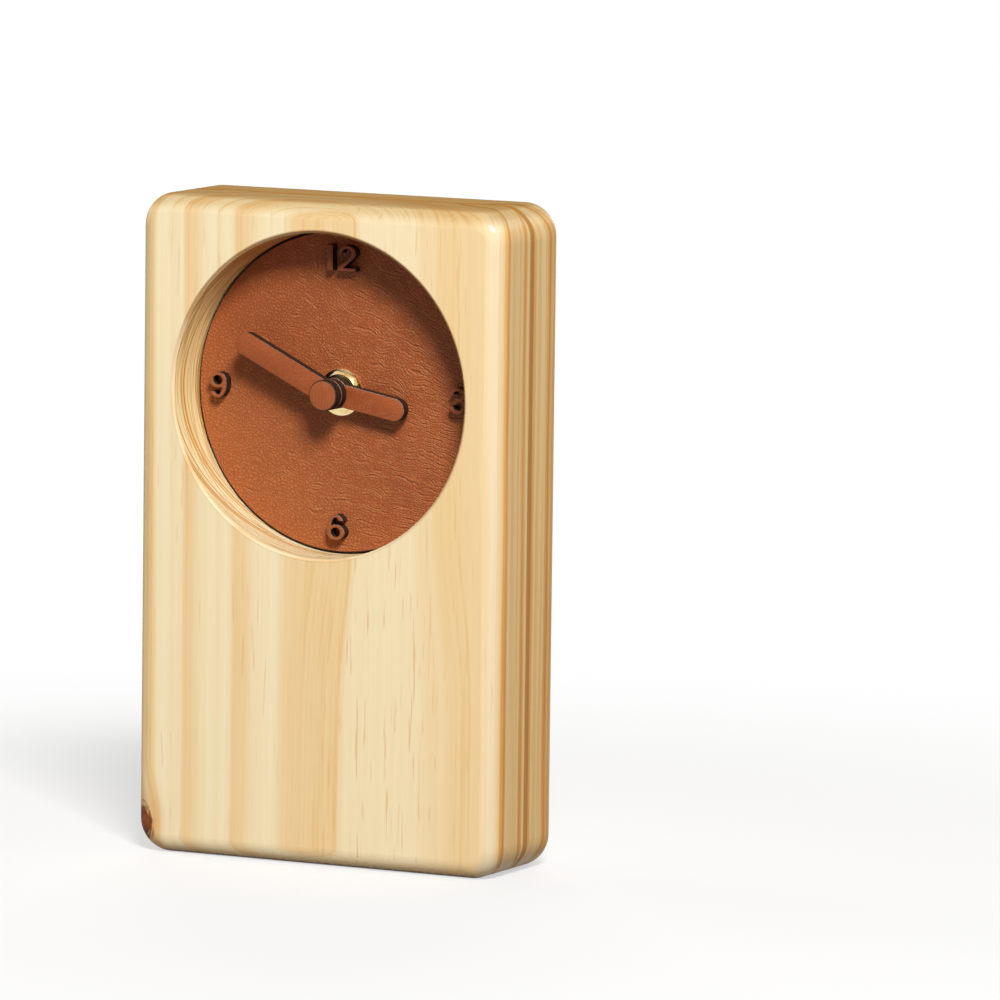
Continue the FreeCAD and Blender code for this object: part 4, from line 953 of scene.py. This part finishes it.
iron = sheet_metal("soft_iron", colour("B9B7B2"), colour("9C9A96"), 0.30, (0.4, 3.0, 4.0))
nickel = sheet_metal("nickel_strip", colour("D5D2C8"), colour("BDBAB0"), 0.22, (3.0, 0.5, 3.0))
copper = sheet_metal("copper_wire", colour("C2703E"), colour("A2562C"), 0.30, (0.2, 0.2, 9.0))
give(iron, "stator", "coil_core")
give(nickel, "quartz_crystal", "contact_positive", "contact_negative")
give(copper, "coil_winding")
give(moulded("sintered_magnet", colour("2C2C30"), colour("3A3A3E"), 0.55, 0.3, 0.02), "rotor_magnet")
give(moulded("chip_resin", colour("101012"), colour("161618"), 0.18, 0.8, 0.03), "timer_chip")
give(moulded("board_lacquer", colour("2E5B32"), colour("274E2B"), 0.30, 0.6, 0.01), "circuit_board")

# The outer layer of the winding, turn beside turn.
wire = Shaping("wire_turns", {
    "Wire": "NodeSocketFloat", "Radius": "NodeSocketFloat", "Length": "NodeSocketFloat",
    "Turns": "NodeSocketFloat", "Centre": "NodeSocketVector",
})
coil_path = wire.step("GeometryNodeCurveSpiral", None, {
    "Resolution": 24, "Rotations": wire.given("Turns"), "Start Radius": wire.given("Radius"),
    "End Radius": wire.given("Radius"), "Height": wire.given("Length"),
})
wound = wire.step("GeometryNodeCurveToMesh", None, {
    "Curve": coil_path, "Fill Caps": True, "Profile Curve": wire.circle(8, wire.given("Wire")),
})
wire_tree = wire.ended(wire.step("GeometryNodeTransform", None, {
    "Geometry": wound, "Translation": wire.given("Centre"),
}), copper)
coil_low, coil_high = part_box("coil_winding")
coil_x, coil_y = [(coil_low[axis] + coil_high[axis]) / 2 for axis in (0, 1)]
wire_radius = 0.00009
coil_turns = baked(linked("coil_turns", bpy.data.meshes.new("coil_turns")), wire_tree, {
    "Wire": wire_radius, "Radius": (coil_high[0] - coil_low[0]) / 2 - 0.00002,
    "Length": coil_high[2] - coil_low[2] - 2 * wire_radius, "Turns": 30.0,
    "Centre": (coil_x, coil_y, coil_low[2] + wire_radius),
}, copper)
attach(coil_turns, "root")


# ---- Battery cell ----
# One AA cell: a steel can rolled in at both ends over its seals, in a plain printed sleeve with a
# silver band at the positive end. It lies loose in its bay, held by the two contacts.
def lathed(name, profile_mm, axis_y_mm, axis_z_mm, turns):
    """A solid turned about an axis that runs along x, from (x, radius) points."""
    points = []
    for x, out in profile_mm:
        for turn in range(turns):
            angle = 2 * math.pi * turn / turns
            y, z = axis_y_mm + out * math.cos(angle), axis_z_mm + out * math.sin(angle)
            points.append((x / 1000, y / 1000, z / 1000))
    faces = hoops(len(profile_mm), turns, closed=False)
    faces.append(tuple(range(turns)))
    faces.append(tuple(reversed(range(len(points) - turns, len(points)))))
    mesh = bpy.data.meshes.new(name)
    mesh.from_pydata(points, [], faces)
    faced_out(mesh)
    mesh.shade_smooth()
    mesh.set_sharp_from_angle(angle=math.radians(40))
    return linked(name, mesh)


cell_low, cell_high = cell_box
cell_left, cell_right = cell_low[0] * 1000, cell_high[0] * 1000
cell_radius = (cell_high[1] - cell_low[1]) * 500
cell_y, cell_z = [(cell_low[axis] + cell_high[axis]) * 500 for axis in (1, 2)]
nub_mm = 1.3
nub_radius = 2.7
shoulder = cell_right - nub_mm
minus_end = [(cell_left + along, out) for along, out in (
    (0.0, 4.9), (0.05, 5.2), (0.35, 5.5), (0.35, 6.0), (0.10, 6.3), (0.12, cell_radius - 0.40),
    (0.35, cell_radius - 0.10), (0.7, cell_radius),
)]
plus_end = [(shoulder + along, out) for along, out in (
    (-0.9, cell_radius), (-0.45, cell_radius - 0.12), (-0.15, cell_radius - 0.45),
    (-0.12, cell_radius - 1.0), (-0.40, cell_radius - 1.2), (-0.42, 4.6), (-0.10, 4.2),
    (0.0, nub_radius + 0.45), (0.08, nub_radius + 0.10), (0.30, nub_radius),
    (nub_mm - 0.30, nub_radius - 0.02), (nub_mm - 0.08, nub_radius - 0.20),
    (nub_mm, nub_radius - 0.55),
)]
band_mm = 15.0
sleeve = Finish("cell_sleeve")
sleeve_x, sleeve_y, sleeve_z = sleeve.apart(sleeve.place_mm())
from_axis = ((sleeve_y - cell_y) ** 2 + (sleeve_z - cell_z) ** 2) ** 0.5
sleeved = sleeve.eased(from_axis, cell_radius - 0.75, cell_radius - 0.65)
banded = sleeve.eased(sleeve_x, cell_right - band_mm, cell_right - band_mm + 0.1)
ringed = 1 - sleeve.eased(abs(sleeve_x - (cell_right - band_mm - 1.2)), 0.35, 0.45)
scuffs = sleeve.noise(sleeve.together(sleeve_x * 0.35, sleeve_y * 2.2, sleeve_z * 2.2), 1.0, 3.0)
print_tone = sleeve.blend(banded, colour("24384A"), colour("C3C6C9"))
print_tone = sleeve.blend(ringed, print_tone, colour("C3C6C9"))
print_tone = sleeve.blend(sleeve.eased(scuffs, 0.55, 0.80) * 0.18, print_tone, colour("8C8F93"))
silvered = banded.or_higher(ringed)
cell_finish = sleeve.cover({
    "Base Color": sleeve.blend(sleeved, colour("CDCDCA"), print_tone),
    "Metallic": 1 - sleeved * (1 - silvered * 0.8),
    "Roughness": 0.20 + 0.14 * scuffs,
    "Coat Weight": sleeved * 0.4,
    "Coat Roughness": 0.1,
    "Normal": sleeve.bump(scuffs, 0.008),
})
cell = lathed("dressed_cell", minus_end + plus_end, cell_y, cell_z, turns=96)
cell.data.materials.append(cell_finish)
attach(cell, "battery")
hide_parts("battery_cell")
